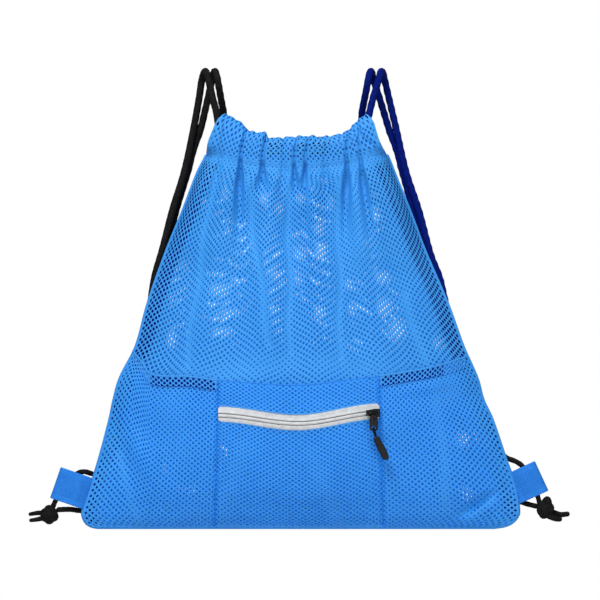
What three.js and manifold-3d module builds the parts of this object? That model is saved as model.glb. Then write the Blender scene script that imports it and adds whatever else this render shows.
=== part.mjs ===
// Mesh drawstring bag hanging by its two cord loops. Millimetres, +Z up, front towards -Y.
// The origin lies on the axis of the level bar, along X, that the cord loops hang over.
import * as THREE from 'three';
import Module from 'manifold-3d';
import { mergeVertices } from 'three/addons/utils/BufferGeometryUtils.js';

const wasm = await Module();
wasm.setup();

// Rows of numbers become objects with named columns
function table(columns, rows) {
  return rows.map((row) => Object.fromEntries(columns.map((name, k) => [name, row[k]])));
}

// Driving dimensions
const CLOTH = 1.4;              // wall of the mesh cloth
const SEAM_HALF_GAP = 0.2;      // front and back panels stand this far from the seam plane
const TAB_PARTING = 1.9;        // extra room between the panels where a webbing tab is sewn in
const PARTING_FULL = 20;        // up to this far along the seam from a tab's middle
const PARTING_ENDS = 32;        // and none beyond this
const PARTING_SPREAD = 24;      // how quickly it dies away from the seam
const SWELL_POWER = 0.8;        // how full the panels are between their side seams
const MOUTH_SQUARENESS = 10;    // how much flatter they are across the mouth
const STITCH_Z = -74.5;         // casing stitch line at the side seams
const STITCH_SAG = 12;          // how far that line sags in the middle of the mouth
const SAG_START = -200;         // below this height the rows of cloth are level
const MOUTH_Y = 14;             // each casing's middle plane lies this far from the seam plane
const CASING_WALL = 1.2;
const CASING_FULL = 8.5;        // half thickness of a casing on its puffs
const CASING_LEAN = 5.2;        // and in its pleats
const CASING_CUT_LEFT = -44;    // beyond these the mouth side of each casing is open for the cords
const CASING_CUT_RIGHT = 40;
const POCKET_GAP = 0.9;         // pocket cloth in front of the front panel, at its seams
const POCKET_ROOM = 2.4;        // and in addition in the middle of each pocket
const ZIP_HALF_WINDOW = 7.4;
const ZIP_CHAIN = 5;            // height of the closed chain
const ZIP_LOWER_TAPE = 3.2;
const ZIP_CLEARANCE = 0.4;
const TAPE_WALL = 1.2;
const ZIP_ENDS = { left: -81.5, right: 79 };
const SLIDER_X = 73.4;
const SLIDER_CLEARANCE = 0.4;   // slider's plate in front of the chain
const CORD_RADIUS = 2.75;
const CORD_SIDES = 8;
const RAIL_BEND = 10.25;        // bend radius of a cord's middle line over the bar
const TAB_WIDTH = 32.6;
const WEBBING = 1.6;
const TAB_SEWN = 7;             // length of a tab's flat root inside the side seam
const TAB_TAPER = 9;            // length over which its two layers come together
const TAB_ROOM = 3.2;           // half the clear height inside a tab's loop
const PULL_CORD_RADIUS = 1.1;

// Outline of the bag: side seams and how far each panel stands out in the middle
const LEVELS = table(['z', 'left', 'right', 'front', 'back'], [
  [-446, -204, 203, 1, 1],
  [-440, -214, 213, 9, 8],
  [-431, -217, 219, 15, 13],
  [-408, -210, 216, 25, 21],
  [-375, -200, 207, 33, 28],
  [-337, -190, 193, 37, 31],
  [-297, -180, 179, 37, 31],
  [-265, -164, 165, 35, 30],
  [-222, -153, 150, 32, 27],
  [-169, -135, 128, 26, 22],
  [-131, -120, 113, 21, 19],
  [-91, -103, 96, 16, 15],
  [STITCH_Z, -94, 87.5, MOUTH_Y, MOUTH_Y],
]);

// Pleats below the casing: place at the stitch line, slant, depth, half width and length
const PLEATS = {
  front: table(['x', 'lean', 'depth', 'width', 'length'], [
    [-61, -0.12, 7, 8, 80],
    [-38, -0.05, 3, 7, 45],
    [-2, 0, 4.5, 9, 60],
    [45, 0.05, 7, 8, 60],
    [59, 0.25, 3.5, 7, 45],
  ]),
  back: table(['x', 'lean', 'depth', 'width', 'length'], [
    [-50, -0.1, 6, 8, 70],
    [-15, 0, 5, 9, 60],
    [22, 0.03, 6, 8, 65],
    [60, 0.15, 5, 8, 55],
  ]),
};
const PLEAT_AT_STITCH = 0.2;    // share of a pleat's depth at the stitch line
const PLEAT_OPENS = 20;         // it reaches its full depth this far below

// Casing: its fold line and its stitched foot along the mouth, and the foot's half thickness
const CASING = table(['u', 'topX', 'topZ', 'footX', 'footZ', 'foot'], [
  [0, -73, -32.5, -86, -43, 5],
  [0.06, -64, -36, -91, -60, 4.5],
  [0.13, -56, -41, -92, -73.7, 3],
  [0.25, -45, -50, -70, -79.2, 1.5],
  [0.4, -22, -55, -32, -84.5, 1.5],
  [0.5, 0, -55.5, -2, -85.7, 1.5],
  [0.6, 21, -54, 28, -84.3, 1.5],
  [0.75, 40, -50, 62, -79.2, 1.5],
  [0.87, 48, -43, 84, -74, 3],
  [0.94, 54, -36, 78, -57, 4.5],
  [1, 60, -32, 72, -40, 5],
]);
const CASING_STATIONS = 24;
// Half of a casing's section, from its foot to its fold: height share and thickness share
const CASING_SECTION = table(['height', 'foot', 'full'], [
  [0, 1, 0],
  [0.3, 0.2, 0.8],
  [0.65, 0, 1],
  [0.9, 0, 0.65],
]);

// Pocket: top hem, the two upright seams, and the line of the zip
const POCKET_TOP = table(['x', 'z'], [
  [-168, -268],
  [-158.4, -279.5],
  [-149, -292],
  [-109, -294.5],
  [-82, -298],
  [0, -302.7],
  [48, -297.5],
  [78, -294],
  [119, -287.5],
  [142, -282.5],
  [168, -274],
]);
const POCKET_SEAMS = table(['z', 'left', 'right'], [
  [-446, -85, 83.2],
  [-294, -81, 78.4],
]);
const ZIP_LINE = table(['x', 'z'], [
  [-200, -338],
  [-81.5, -332],
  [0, -340],
  [79, -329.5],
  [200, -338],
]);

// Webbing tabs: middle of the outer fold, direction away from the bag, free length, place in the seam
const TABS = table(['name', 'x', 'z', 'outX', 'outZ', 'free', 'seamZ'], [
  ['left_tab', -244.15, -401.1, -0.945, 0.328, 33, -411],
  ['right_tab', 241.2, -394.45, 0.908, 0.419, 25, -408],
]);

// Share of the half width from one side seam to the other: close together near the seams
const EDGE_SHARES = [1, 0.975, 0.94, 0.89];
const FINE_STEP = 0.055;
const MIDDLE_SHARE = 0.835;
const HEIGHTS = {
  front: [-446, -440, -431, -408, -390, -370, -347, -318, -290, -262, -235, -208, -184, -162, -142, -125,
    -111, -98, -86, STITCH_Z],
  back: [-446, -440, -431, -408, -390, -366, -335, -297, -262, -228, -195, -165, -138, -115, -94, STITCH_Z],
};

// Colours of the materials
const BLUE = 0x3a8cf0;
const WEBBING_BLUE = 0x2d80e0;
const TAPE_GREY = 0xd6d4d2;
const GUNMETAL = 0x4a4c50;
const BLACK = 0x1c1c1c;
const NAVY = 0x05145f;

const lerp = THREE.MathUtils.lerp;
const smooth = THREE.MathUtils.smoothstep;

// Smooth curve through a table's rows, level with the straight line outside them
function curve(rows, key, value) {
  const slope = rows.map((_, k) => {
    const before = rows[Math.max(k - 1, 0)];
    const after = rows[Math.min(k + 1, rows.length - 1)];
    return (after[value] - before[value]) / (after[key] - before[key]);
  });
  return (at) => {
    let k = rows.findIndex((row) => row[key] >= at) - 1;
    if (k === -2) k = rows.length - 2;
    k = Math.max(k, 0);
    const [a, b] = [rows[k], rows[k + 1]];
    const span = b[key] - a[key];
    const t = THREE.MathUtils.clamp((at - a[key]) / span, 0, 1);
    const ease = t * t * (3 - 2 * t);
    const start = t * (1 - t) * (1 - t) * span * slope[k];
    const end = t * t * (t - 1) * span * slope[k + 1];
    return a[value] + (b[value] - a[value]) * ease + start + end;
  };
}

const leftSeam = curve(LEVELS, 'z', 'left');
const rightSeam = curve(LEVELS, 'z', 'right');
const depthOf = { front: curve(LEVELS, 'z', 'front'), back: curve(LEVELS, 'z', 'back') };
const pocketTop = curve(POCKET_TOP, 'x', 'z');
const pocketSeam = {
  left: curve(POCKET_SEAMS, 'z', 'left'),
  right: curve(POCKET_SEAMS, 'z', 'right'),
};
const zipLine = curve(ZIP_LINE, 'x', 'z');

// Closed wall between two surfaces over one grid, with side walls around every kept region.
// Columns run to the right and rows upwards as seen from outside.
function wall(columns, rows, outer, inner, kept = () => true) {
  const points = [];
  const stride = columns.length;
  const layer = stride * rows.length;
  for (const surface of [outer, inner]) {
    rows.forEach((row, j) => columns.forEach((column, i) => points.push(surface(column, row, i, j))));
  }
  const index = [];
  const quad = (a, b, c, d) => index.push(a, b, c, a, c, d);
  const isKept = (i, j) => i >= 0 && j >= 0 && i < stride - 1 && j < rows.length - 1 && kept(i, j);
  for (let j = 0; j < rows.length - 1; j += 1) {
    for (let i = 0; i < stride - 1; i += 1) {
      if (!isKept(i, j)) continue;
      const corner = [j * stride + i, j * stride + i + 1, (j + 1) * stride + i + 1, (j + 1) * stride + i];
      const beyond = [[i, j - 1], [i + 1, j], [i, j + 1], [i - 1, j]];
      quad(...corner);
      quad(...corner.map((k) => k + layer).reverse());
      beyond.forEach(([ni, nj], side) => {
        const a = corner[side];
        const b = corner[(side + 1) % 4];
        if (!isKept(ni, nj)) quad(b, a, a + layer, b + layer);
      });
    }
  }
  return indexed(points, index);
}

function indexed(points, index) {
  const geometry = new THREE.BufferGeometry().setFromPoints(points);
  geometry.setIndex(index);
  // Points that no face uses are dropped
  const plain = geometry.toNonIndexed();
  return mergeVertices(plain, 1e-6);
}

// Solid for joining and cutting, and back to a geometry
function solid(geometry) {
  const bare = geometry.index ? geometry.toNonIndexed() : geometry.clone();
  bare.deleteAttribute('normal');
  bare.deleteAttribute('uv');
  const merged = mergeVertices(bare, 1e-5);
  const mesh = new wasm.Mesh({
    numProp: 3,
    vertProperties: new Float32Array(merged.attributes.position.array),
    triVerts: new Uint32Array(merged.index.array),
  });
  mesh.merge();
  return new wasm.Manifold(mesh);
}

function toGeometry(body) {
  const mesh = body.getMesh();
  const geometry = new THREE.BufferGeometry();
  geometry.setAttribute('position', new THREE.BufferAttribute(new Float32Array(mesh.vertProperties), 3));
  geometry.setIndex(new THREE.BufferAttribute(new Uint32Array(mesh.triVerts), 1));
  return geometry;
}

function piece(name, geometry, color, roughness, metalness = 0) {
  const mesh = new THREE.Mesh(geometry, new THREE.MeshStandardMaterial({ color, roughness, metalness }));
  mesh.name = name;
  return mesh;
}

// Round tube with its rings on the points given
function tube(points, radius, sides = CORD_SIDES) {
  const path = new THREE.CatmullRomCurve3(points);
  path.getUtoTmapping = (u) => u;
  const corners = Array.from({ length: sides }, (_, k) => {
    const angle = (2 * Math.PI * k) / sides;
    return new THREE.Vector2(radius * Math.cos(angle), radius * Math.sin(angle));
  });
  const section = new THREE.Shape(corners);
  return new THREE.ExtrudeGeometry(section, { steps: points.length - 1, extrudePath: path });
}

// Outer face of a panel: share runs from -1 at the left seam to 1 at the right one
function pleatDepth(side, x, z, top) {
  return PLEATS[side].reduce((sum, pleat) => {
    const below = top - z;
    const across = (x - pleat.x - pleat.lean * below) / pleat.width;
    const opening = lerp(PLEAT_AT_STITCH, 1, smooth(below, 0, PLEAT_OPENS));
    const fading = 1 - smooth(below, PLEAT_OPENS, pleat.length);
    return sum + pleat.depth * opening * fading * Math.exp(-across * across);
  }, 0);
}

function tabParting(share, z) {
  const tab = TABS[share < 0 ? 0 : 1];
  const along = 1 - smooth(Math.abs(z - tab.seamZ), PARTING_FULL, PARTING_ENDS);
  return TAB_PARTING * along * Math.abs(share) ** PARTING_SPREAD;
}

function panelPoint(side, share, height) {
  const left = leftSeam(height);
  const right = rightSeam(height);
  const x = lerp(left, right, (share + 1) / 2);
  const hang = smooth(height, SAG_START, STITCH_Z);
  const z = height - STITCH_SAG * hang * (1 - share * share);
  const power = 2 + MOUTH_SQUARENESS * hang;
  const swell = Math.max(0, 1 - Math.abs(share) ** power) ** SWELL_POWER;
  const seam = SEAM_HALF_GAP + CLOTH + tabParting(share, z);
  const stitch = STITCH_Z - STITCH_SAG * (1 - share * share);
  const pleat = pleatDepth(side, x, z, stitch) * swell;
  const out = seam + Math.max(0, (depthOf[side](height) - CLOTH / 2) * swell - pleat);
  return new THREE.Vector3(x, side === 'front' ? -out : out, z);
}

// The same face moved in by the cloth's thickness: square to the cloth, or along Y at its edges
function inset(outer, thickness) {
  const step = 1e-3;
  return (share, height, onEdge) => {
    const at = outer(share, height);
    const along = new THREE.Vector3(0, -Math.sign(at.y) || 1, 0);
    if (!onEdge) {
      const across = outer(share + step, height).sub(outer(share - step, height));
      const up = outer(share, height + step).sub(outer(share, height - step));
      const normal = across.cross(up).normalize();
      along.copy(normal).multiplyScalar(-Math.sign(normal.y * at.y) || 1);
    }
    return at.addScaledVector(along, thickness);
  };
}

// Shares across a panel, closer together at the seams
function shares(step) {
  const half = [...EDGE_SHARES];
  for (let share = MIDDLE_SHARE; share > step / 2; share -= step) half.push(share);
  return [...half.map((share) => -share), 0, ...half.reverse()];
}

function panel(side, step) {
  const columns = shares(step);
  if (side === 'back') columns.reverse();
  const heights = HEIGHTS[side];
  const outer = (share, height) => panelPoint(side, share, height);
  const moved = inset(outer, CLOTH);
  const inner = (share, height, i, j) => {
    const onEdge = i === 0 || j === 0 || i === columns.length - 1 || j === heights.length - 1;
    return moved(share, height, onEdge);
  };
  return wall(columns, heights, outer, inner);
}

// Pocket cloth: rows follow the bottom seam, the window of the zip and the top hem
const POCKET_LOW = [-446, -440, -431, -408, -390, -370];
const WINDOW_ROW = POCKET_LOW.length;
const POCKET_HIGH_ROWS = 3;
const WINDOW_CELLS = 12;
const POCKET_FULL_Z = -410;     // the pockets are flat at the bottom seam and full from here up

function pocketHeight(row, x) {
  if (row < WINDOW_ROW) return POCKET_LOW[row];
  const low = zipLine(x) - ZIP_HALF_WINDOW;
  if (row === WINDOW_ROW) return low;
  const share = (row - WINDOW_ROW - 1) / POCKET_HIGH_ROWS;
  return lerp(low + 2 * ZIP_HALF_WINDOW, pocketTop(x), share);
}

// Columns of the pocket, with one on each upright seam
const SEAM_SHARE = 0.45;

function pocketColumns() {
  const all = shares(2 * FINE_STEP);
  const side = all.filter((share) => share < -SEAM_SHARE);
  const middle = Array.from({ length: WINDOW_CELLS + 1 }, (_, k) => k / WINDOW_CELLS);
  return [
    ...side.map((share) => ({ part: 'left', at: share })),
    ...middle.map((at) => ({ part: 'middle', at })),
    ...side.map((share) => ({ part: 'right', at: -share })).reverse(),
  ];
}

function pocketXZ(column, row) {
  let x = 0;
  let z = -340;
  // The side seams lean, so place and height are found together
  for (let turn = 0; turn < 8; turn += 1) {
    const across = lerp(leftSeam(z), rightSeam(z), (column.at + 1) / 2);
    const sewn = lerp(pocketSeam.left(z), pocketSeam.right(z), column.at);
    x = column.part === 'middle' ? sewn : across;
    z = pocketHeight(row, x);
  }
  return [x, z];
}

// Distance of a place on the pocket from the nearest seam, as 0 on the seam to 1 in the middle
function pocketFullness(x, z) {
  const lines = [leftSeam(z), pocketSeam.left(z), pocketSeam.right(z), rightSeam(z)];
  const k = x < lines[1] ? 0 : x < lines[2] ? 1 : 2;
  const share = (x - lines[k]) / (lines[k + 1] - lines[k]);
  return THREE.MathUtils.clamp(4 * share * (1 - share), 0, 1) * smooth(z, POCKET_LOW[0], POCKET_FULL_Z);
}

function pocketPoint(x, z) {
  const share = (2 * x - leftSeam(z) - rightSeam(z)) / (rightSeam(z) - leftSeam(z));
  const front = panelPoint('front', THREE.MathUtils.clamp(share, -1, 1), z);
  return new THREE.Vector3(x, front.y - POCKET_GAP - CLOTH - POCKET_ROOM * pocketFullness(x, z), z);
}

function pocketPanel() {
  const columns = pocketColumns();
  const rows = Array.from({ length: WINDOW_ROW + POCKET_HIGH_ROWS + 2 }, (_, k) => k);
  const outer = (column, row) => pocketPoint(...pocketXZ(column, row));
  const inner = (column, row) => outer(column, row).add(new THREE.Vector3(0, CLOTH, 0));
  const window = (i, j) => {
    const sewn = columns[i].part === 'middle' && columns[i + 1].part === 'middle';
    return sewn && j === WINDOW_ROW;
  };
  return wall(columns, rows, outer, inner, (i, j) => !window(i, j));
}

// Strip of the zip between two heights about its line, with ridges that stand out from it
function zipStrip(low, high, ridges) {
  const count = WINDOW_CELLS;
  const left = pocketSeam.left(zipLine(ZIP_ENDS.left)) + ZIP_CLEARANCE;
  const right = pocketSeam.right(zipLine(ZIP_ENDS.right)) - ZIP_CLEARANCE;
  const columns = Array.from({ length: count + 1 }, (_, k) => lerp(left, right, k / count));
  const rows = ridges.map((_, k) => k);
  const place = (x, row, out) => {
    const z = zipLine(x) + lerp(low, high, row / (rows.length - 1));
    const at = pocketPoint(x, zipLine(x));
    return new THREE.Vector3(x, at.y - out, z);
  };
  const outer = (x, row) => place(x, row, ridges[row]);
  const inner = (x, row) => place(x, row, -TAPE_WALL);
  return wall(columns, rows, outer, inner);
}

const chainLow = -ZIP_HALF_WINDOW + ZIP_CLEARANCE + ZIP_LOWER_TAPE;
const chainHigh = chainLow + ZIP_CHAIN;
const TAPE_PROFILE = [0, 0];
const CHAIN_PROFILE = [0.2, 1, 0.4, 1, 0.2];

function zip() {
  const lower = zipStrip(-ZIP_HALF_WINDOW + ZIP_CLEARANCE, chainLow - ZIP_CLEARANCE, TAPE_PROFILE);
  const upper = zipStrip(chainHigh + ZIP_CLEARANCE, ZIP_HALF_WINDOW - ZIP_CLEARANCE, TAPE_PROFILE);
  const chain = zipStrip(chainLow, chainHigh, CHAIN_PROFILE);
  return [
    piece('zip_tape_lower', lower, TAPE_GREY, 0.8),
    piece('zip_tape_upper', upper, TAPE_GREY, 0.8),
    piece('zip_teeth', chain, TAPE_GREY, 0.6),
  ];
}

// Slider and pull, drawn about the hinge line of the bridge: X along the zip, -Y to the front
const PLATE = { length: 14, height: 8.6, thick: 1.8, nose: 5.2 };
const BRIDGE = { radius: 0.8, half: 4.4, reach: 2.9 };
const EYE = { bore: 1.25, outer: 2.2, half: 2.6 };
const PULL = { width: 8.4, top: -1.7, bottom: -17.5, neck: 5, thick: 1.6, holeZ: -14.8, hole: 1.9 };
const GRIP = { width: 7.6, neck: 5.4, length: 25, thick: 4, lean: 0.45 };
const PULL_CORD_DROP = 8.6;
const GRIP_GAP = 0.7;
const GRIP_SHIFT = 2.1;

// Flat plate from an outline in X and Z, centred on the hinge plane, with softened edges
function plate(shape, thickness, soft) {
  const body = new THREE.ExtrudeGeometry(shape, {
    depth: thickness - 2 * soft,
    bevelThickness: soft,
    bevelSize: soft,
    bevelOffset: -soft,
    bevelSegments: 1,
    curveSegments: 6,
  });
  body.translate(0, 0, soft - thickness / 2);
  return body.rotateX(Math.PI / 2);
}

function sliderGeometry() {
  const { length, height, nose, thick } = PLATE;
  const outline = new THREE.Shape();
  outline.moveTo(-length / 2, -nose / 2);
  outline.lineTo(length * 0.1, -height / 2);
  outline.lineTo(length * 0.42, -height / 2);
  outline.quadraticCurveTo(length / 2, -height / 2, length / 2, -height * 0.3);
  outline.lineTo(length / 2, height * 0.3);
  outline.quadraticCurveTo(length / 2, height / 2, length * 0.42, height / 2);
  outline.lineTo(length * 0.1, height / 2);
  outline.lineTo(-length / 2, nose / 2);
  const base = plate(outline, thick, 0.4).translate(0, BRIDGE.reach + thick / 2, 0);
  const sunk = BRIDGE.reach + thick / 2;
  const arch = [
    [-BRIDGE.half, sunk], [-BRIDGE.half, 1.2], [-BRIDGE.half + 0.5, 0.3], [-BRIDGE.half + 1.4, 0],
    [0, 0],
    [BRIDGE.half - 1.4, 0], [BRIDGE.half - 0.5, 0.3], [BRIDGE.half, 1.2], [BRIDGE.half, sunk],
  ].map(([x, y]) => new THREE.Vector3(x, y, 0));
  return toGeometry(solid(base).add(solid(tube(arch, BRIDGE.radius))));
}

function pullTabGeometry() {
  const { width, top, bottom, neck, thick, holeZ, hole } = PULL;
  const outline = new THREE.Shape();
  outline.moveTo(-neck / 2, top);
  outline.lineTo(-width / 2, top - 4);
  outline.lineTo(-width / 2, bottom + 2);
  outline.quadraticCurveTo(-width / 2, bottom, -width / 2 + 2, bottom);
  outline.lineTo(width / 2 - 2, bottom);
  outline.quadraticCurveTo(width / 2, bottom, width / 2, bottom + 2);
  outline.lineTo(width / 2, top - 4);
  outline.lineTo(neck / 2, top);
  const slot = new THREE.Path();
  slot.absellipse(0, holeZ, hole * 1.3, hole, 0, 2 * Math.PI, true);
  outline.holes.push(slot);
  const ring = [
    [EYE.bore, -EYE.half], [EYE.outer, -EYE.half], [EYE.outer, EYE.half], [EYE.bore, EYE.half],
    [EYE.bore, -EYE.half],
  ].map(([r, h]) => new THREE.Vector2(r, h));
  const eye = new THREE.LatheGeometry(ring, 16).rotateZ(Math.PI / 2);
  return toGeometry(solid(plate(outline, thick, 0.35)).add(solid(eye)));
}

function pullCordGeometry() {
  const out = PULL.thick / 2 + 0.45 + PULL_CORD_RADIUS;
  const drop = PULL_CORD_DROP;
  const strand = [[1.9, 1.25, -drop], [1.5, 1.7, -drop * 0.75], [0.7, out, -drop * 0.45], [0.1, out, -1.6]];
  const turn = [[0, out * 0.72, 0.1], [0, 0, 0.35], [0, -out * 0.72, 0.1]];
  const mirrored = strand.map(([x, y, z]) => [x, -y, z]).reverse();
  const points = [...strand, ...turn, ...mirrored];
  return tube(points.map(([x, y, z]) => new THREE.Vector3(x, y, PULL.holeZ + z)), PULL_CORD_RADIUS);
}

function pullGripGeometry() {
  const { width, neck, length, thick } = GRIP;
  const outline = new THREE.Shape();
  outline.moveTo(-neck / 2, 0);
  outline.quadraticCurveTo(-width * 0.55, -length * 0.45, -width * 0.38, -length + 3);
  outline.quadraticCurveTo(-width * 0.3, -length, 0.4, -length);
  outline.quadraticCurveTo(width / 2, -length, width / 2, -length + 4);
  outline.quadraticCurveTo(width * 0.55, -length * 0.4, neck / 2, 0);
  return plate(outline, thick, 0.8);
}

function sliderAndPull() {
  const group = new THREE.Group();
  const z = zipLine(SLIDER_X) + (chainLow + chainHigh) / 2;
  const near = pocketPoint(SLIDER_X - 5, zipLine(SLIDER_X - 5));
  const far = pocketPoint(SLIDER_X + 5, zipLine(SLIDER_X + 5));
  const chainFront = pocketPoint(SLIDER_X, zipLine(SLIDER_X)).y - Math.max(...CHAIN_PROFILE);
  group.position.set(SLIDER_X, chainFront - SLIDER_CLEARANCE - PLATE.thick - BRIDGE.reach, z);
  group.rotation.z = Math.atan2(far.y - near.y, far.x - near.x);
  const grip = piece('pull_grip', pullGripGeometry(), BLACK, 0.5);
  grip.position.set(GRIP_SHIFT, 0, PULL.holeZ - PULL_CORD_DROP - GRIP_GAP);
  grip.rotation.y = -GRIP.lean;
  group.add(
    piece('zip_slider', sliderGeometry(), GUNMETAL, 0.35, 0.9),
    piece('pull_tab', pullTabGeometry(), GUNMETAL, 0.35, 0.9),
    piece('pull_cord', pullCordGeometry(), BLACK, 0.8),
    grip,
  );
  return group;
}

// Casing along one half of the mouth: a flattened tube with open ends
function casing(side) {
  const out = side === 'front' ? -1 : 1;
  const at = {};
  for (const name of ['topX', 'topZ', 'footX', 'footZ', 'foot']) at[name] = curve(CASING, 'u', name);
  const loop = (u, margin) => {
    const foot = new THREE.Vector3(at.footX(u), out * MOUTH_Y, at.footZ(u));
    const top = new THREE.Vector3(at.topX(u), out * MOUTH_Y, at.topZ(u));
    const up = top.clone().sub(foot);
    const length = up.length();
    up.normalize();
    const middle = (foot.x + top.x) / 2;
    const valley = Math.max(...PLEATS[side].map((p) => Math.exp(-(((middle - p.x) / p.width) ** 2))));
    const full = lerp(CASING_FULL, CASING_LEAN, valley);
    const half = CASING_SECTION.map((row) => ({
      along: lerp(margin, length - margin, row.height),
      thick: row.foot * at.foot(u) + row.full * full - margin,
    }));
    const point = (along, y) => foot.clone().addScaledVector(up, along).add(new THREE.Vector3(0, y, 0));
    return [
      ...half.map((row) => point(row.along, out * row.thick)),
      point(length - margin, 0),
      ...half.map((row) => point(row.along, -out * row.thick)).reverse(),
    ];
  };
  const stations = Array.from({ length: CASING_STATIONS + 1 }, (_, k) => k / CASING_STATIONS);
  const outside = stations.map((u) => loop(u, 0));
  const inside = stations.map((u) => loop(u, CASING_WALL));
  return ringWall(outside, inside, side === 'back');
}

// Wall between an outer and an inner row of closed rings, with a rim at each end
function ringWall(outer, inner, flipped) {
  const sides = outer[0].length;
  const points = [...outer.flat(), ...inner.flat()];
  const layer = outer.length * sides;
  const index = [];
  const quad = (a, b, c, d) => index.push(...(flipped ? [a, c, b, a, d, c] : [a, b, c, a, c, d]));
  for (let k = 0; k < sides; k += 1) {
    const next = (k + 1) % sides;
    for (let j = 0; j < outer.length - 1; j += 1) {
      const [a, b] = [j * sides + k, j * sides + next];
      quad(a, a + sides, b + sides, b);
      quad(a + layer, b + layer, b + sides + layer, a + sides + layer);
    }
    const end = (outer.length - 1) * sides;
    quad(k, next, next + layer, k + layer);
    quad(end + k, end + k + layer, end + next + layer, end + next);
  }
  return indexed(points, index);
}

// The mouth side of a casing is open near both ends, where the cords leave and turn back
function openedCasing(side) {
  const far = 200;
  const room = (from, to) => {
    const box = new THREE.BoxGeometry(to - from, 2 * MOUTH_Y, far);
    box.translate((from + to) / 2, 0, -far / 2);
    return solid(box);
  };
  const ends = room(-far, CASING_CUT_LEFT).add(room(CASING_CUT_RIGHT, far));
  return toGeometry(solid(casing(side)).subtract(ends));
}

// Webbing tab: a strip folded into a loop, its two ends flat together in the side seam
function tab({ name, x, z, outX, outZ, free }) {
  const outer = TAB_ROOM + WEBBING;
  const root = 0.15;
  const sewn = free;
  const straight = free - TAB_TAPER;
  const end = free + TAB_SEWN;
  const profile = new THREE.Shape();
  profile.moveTo(end, root);
  profile.lineTo(end, root + WEBBING);
  profile.lineTo(sewn, root + WEBBING);
  profile.lineTo(straight, outer);
  profile.lineTo(outer, outer);
  profile.absarc(outer, 0, outer, Math.PI / 2, (3 * Math.PI) / 2, false);
  profile.lineTo(straight, -outer);
  profile.lineTo(sewn, -root - WEBBING);
  profile.lineTo(end, -root - WEBBING);
  profile.lineTo(end, -root);
  profile.lineTo(sewn, -root);
  profile.lineTo(straight, -TAB_ROOM);
  profile.lineTo(outer, -TAB_ROOM);
  profile.absarc(outer, 0, TAB_ROOM, (3 * Math.PI) / 2, Math.PI / 2, true);
  profile.lineTo(straight, TAB_ROOM);
  profile.lineTo(sewn, root);
  const strip = new THREE.ExtrudeGeometry(profile, {
    depth: TAB_WIDTH,
    bevelEnabled: false,
    curveSegments: 6,
  });
  strip.translate(0, 0, -TAB_WIDTH / 2);
  const inward = new THREE.Vector3(-outX, 0, -outZ).normalize();
  const across = new THREE.Vector3(0, 1, 0);
  const turned = new THREE.Matrix4().makeBasis(inward, across, inward.clone().cross(across));
  const mesh = piece(name, strip, WEBBING_BLUE, 0.75);
  mesh.quaternion.setFromRotationMatrix(turned);
  mesh.position.set(x, 0, z);
  return mesh;
}

// Cord routes, from the knot behind the tab up to the bar, through both casings and back
const vector = ([x, y, z]) => new THREE.Vector3(x, y, z);

// Half turn over the bar, from its front at one place along X to its back at another
function overBar(frontX, backX) {
  return [0, 1, 2, 3, 4].map((k) => {
    const angle = (Math.PI * k) / 4;
    const x = lerp(frontX, backX, k / 4);
    return [x, -RAIL_BEND * Math.cos(angle), RAIL_BEND * Math.sin(angle)];
  });
}

// Turn back from the front casing into the back one, at the far end of the mouth
function turnBack(x, z, away) {
  return [[x, -9.9, z], [x + 4 * away, 0, z + 1], [x, 9.9, z]];
}

// Places on a cord's track in the casings, in X and Z, along the front or the back of the mouth
const inCasing = (track, y) => track.map(([x, z]) => [x, y, z]);

const LEFT_UP = [
  [-247, 0, -424.9], [-244.6, 0, -419.5], [-239.5, 0, -409.5], [-231.5, 0, -398], [-225, 0, -390.2],
  [-217.5, 1.6, -387.2], [-209, 6, -389.5], [-199.5, 9.5, -391.5], [-190, 12, -386], [-183, 13.5, -370],
  [-175, 13.5, -335], [-166, 12, -285], [-156, 9.5, -235], [-147.3, 7.5, -195.5], [-137, 8, -167.5],
  [-126, 9, -128.5], [-113.5, 10, -90.5], [-105.8, 10.3, -45.5], [-100.5, 10.3, -14],
];
const LEFT_IN = [[-88.5, -11.2, -18], [-84.6, -12.8, -29], [-82.3, -14, -40.3], [-80.5, -14, -50.7]];
const LEFT_TRACK = [[-76, -60.5], [-60.1, -68], [-28.3, -73.5], [-1, -74.8], [25.4, -72.8], [42, -69.5]];
const LEFT_OUT = [[-80, 14, -50], [-79, 12, -38], [-76.8, 4, -26], [-78, -5, -14]];
const LEFT_DOWN = [
  [-90.5, 10.5, -13], [-95, 10.8, -27.5], [-99.4, 11, -45.5], [-106.5, 11, -90.5], [-119.5, 12, -128.5],
  [-130.5, 12.5, -167.5], [-140.5, 13, -195.5], [-149.5, 14.5, -235], [-159.5, 17, -285],
  [-168.5, 18.5, -335], [-178, 18.5, -375], [-190, 14.5, -403], [-204, 10, -421], [-217, 7.2, -429],
  [-230, 3.5, -427.9], [-241.3, 0.4, -428.2],
];
const LEFT_ROUTE = [
  ...LEFT_UP,
  ...overBar(-92.9, -98.1).reverse(),
  ...LEFT_IN,
  ...inCasing(LEFT_TRACK, -MOUTH_Y),
  ...turnBack(52, -67.5, 1),
  ...inCasing(LEFT_TRACK, MOUTH_Y).reverse(),
  ...LEFT_OUT,
  ...overBar(-82, -88.6),
  ...LEFT_DOWN,
];

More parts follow.
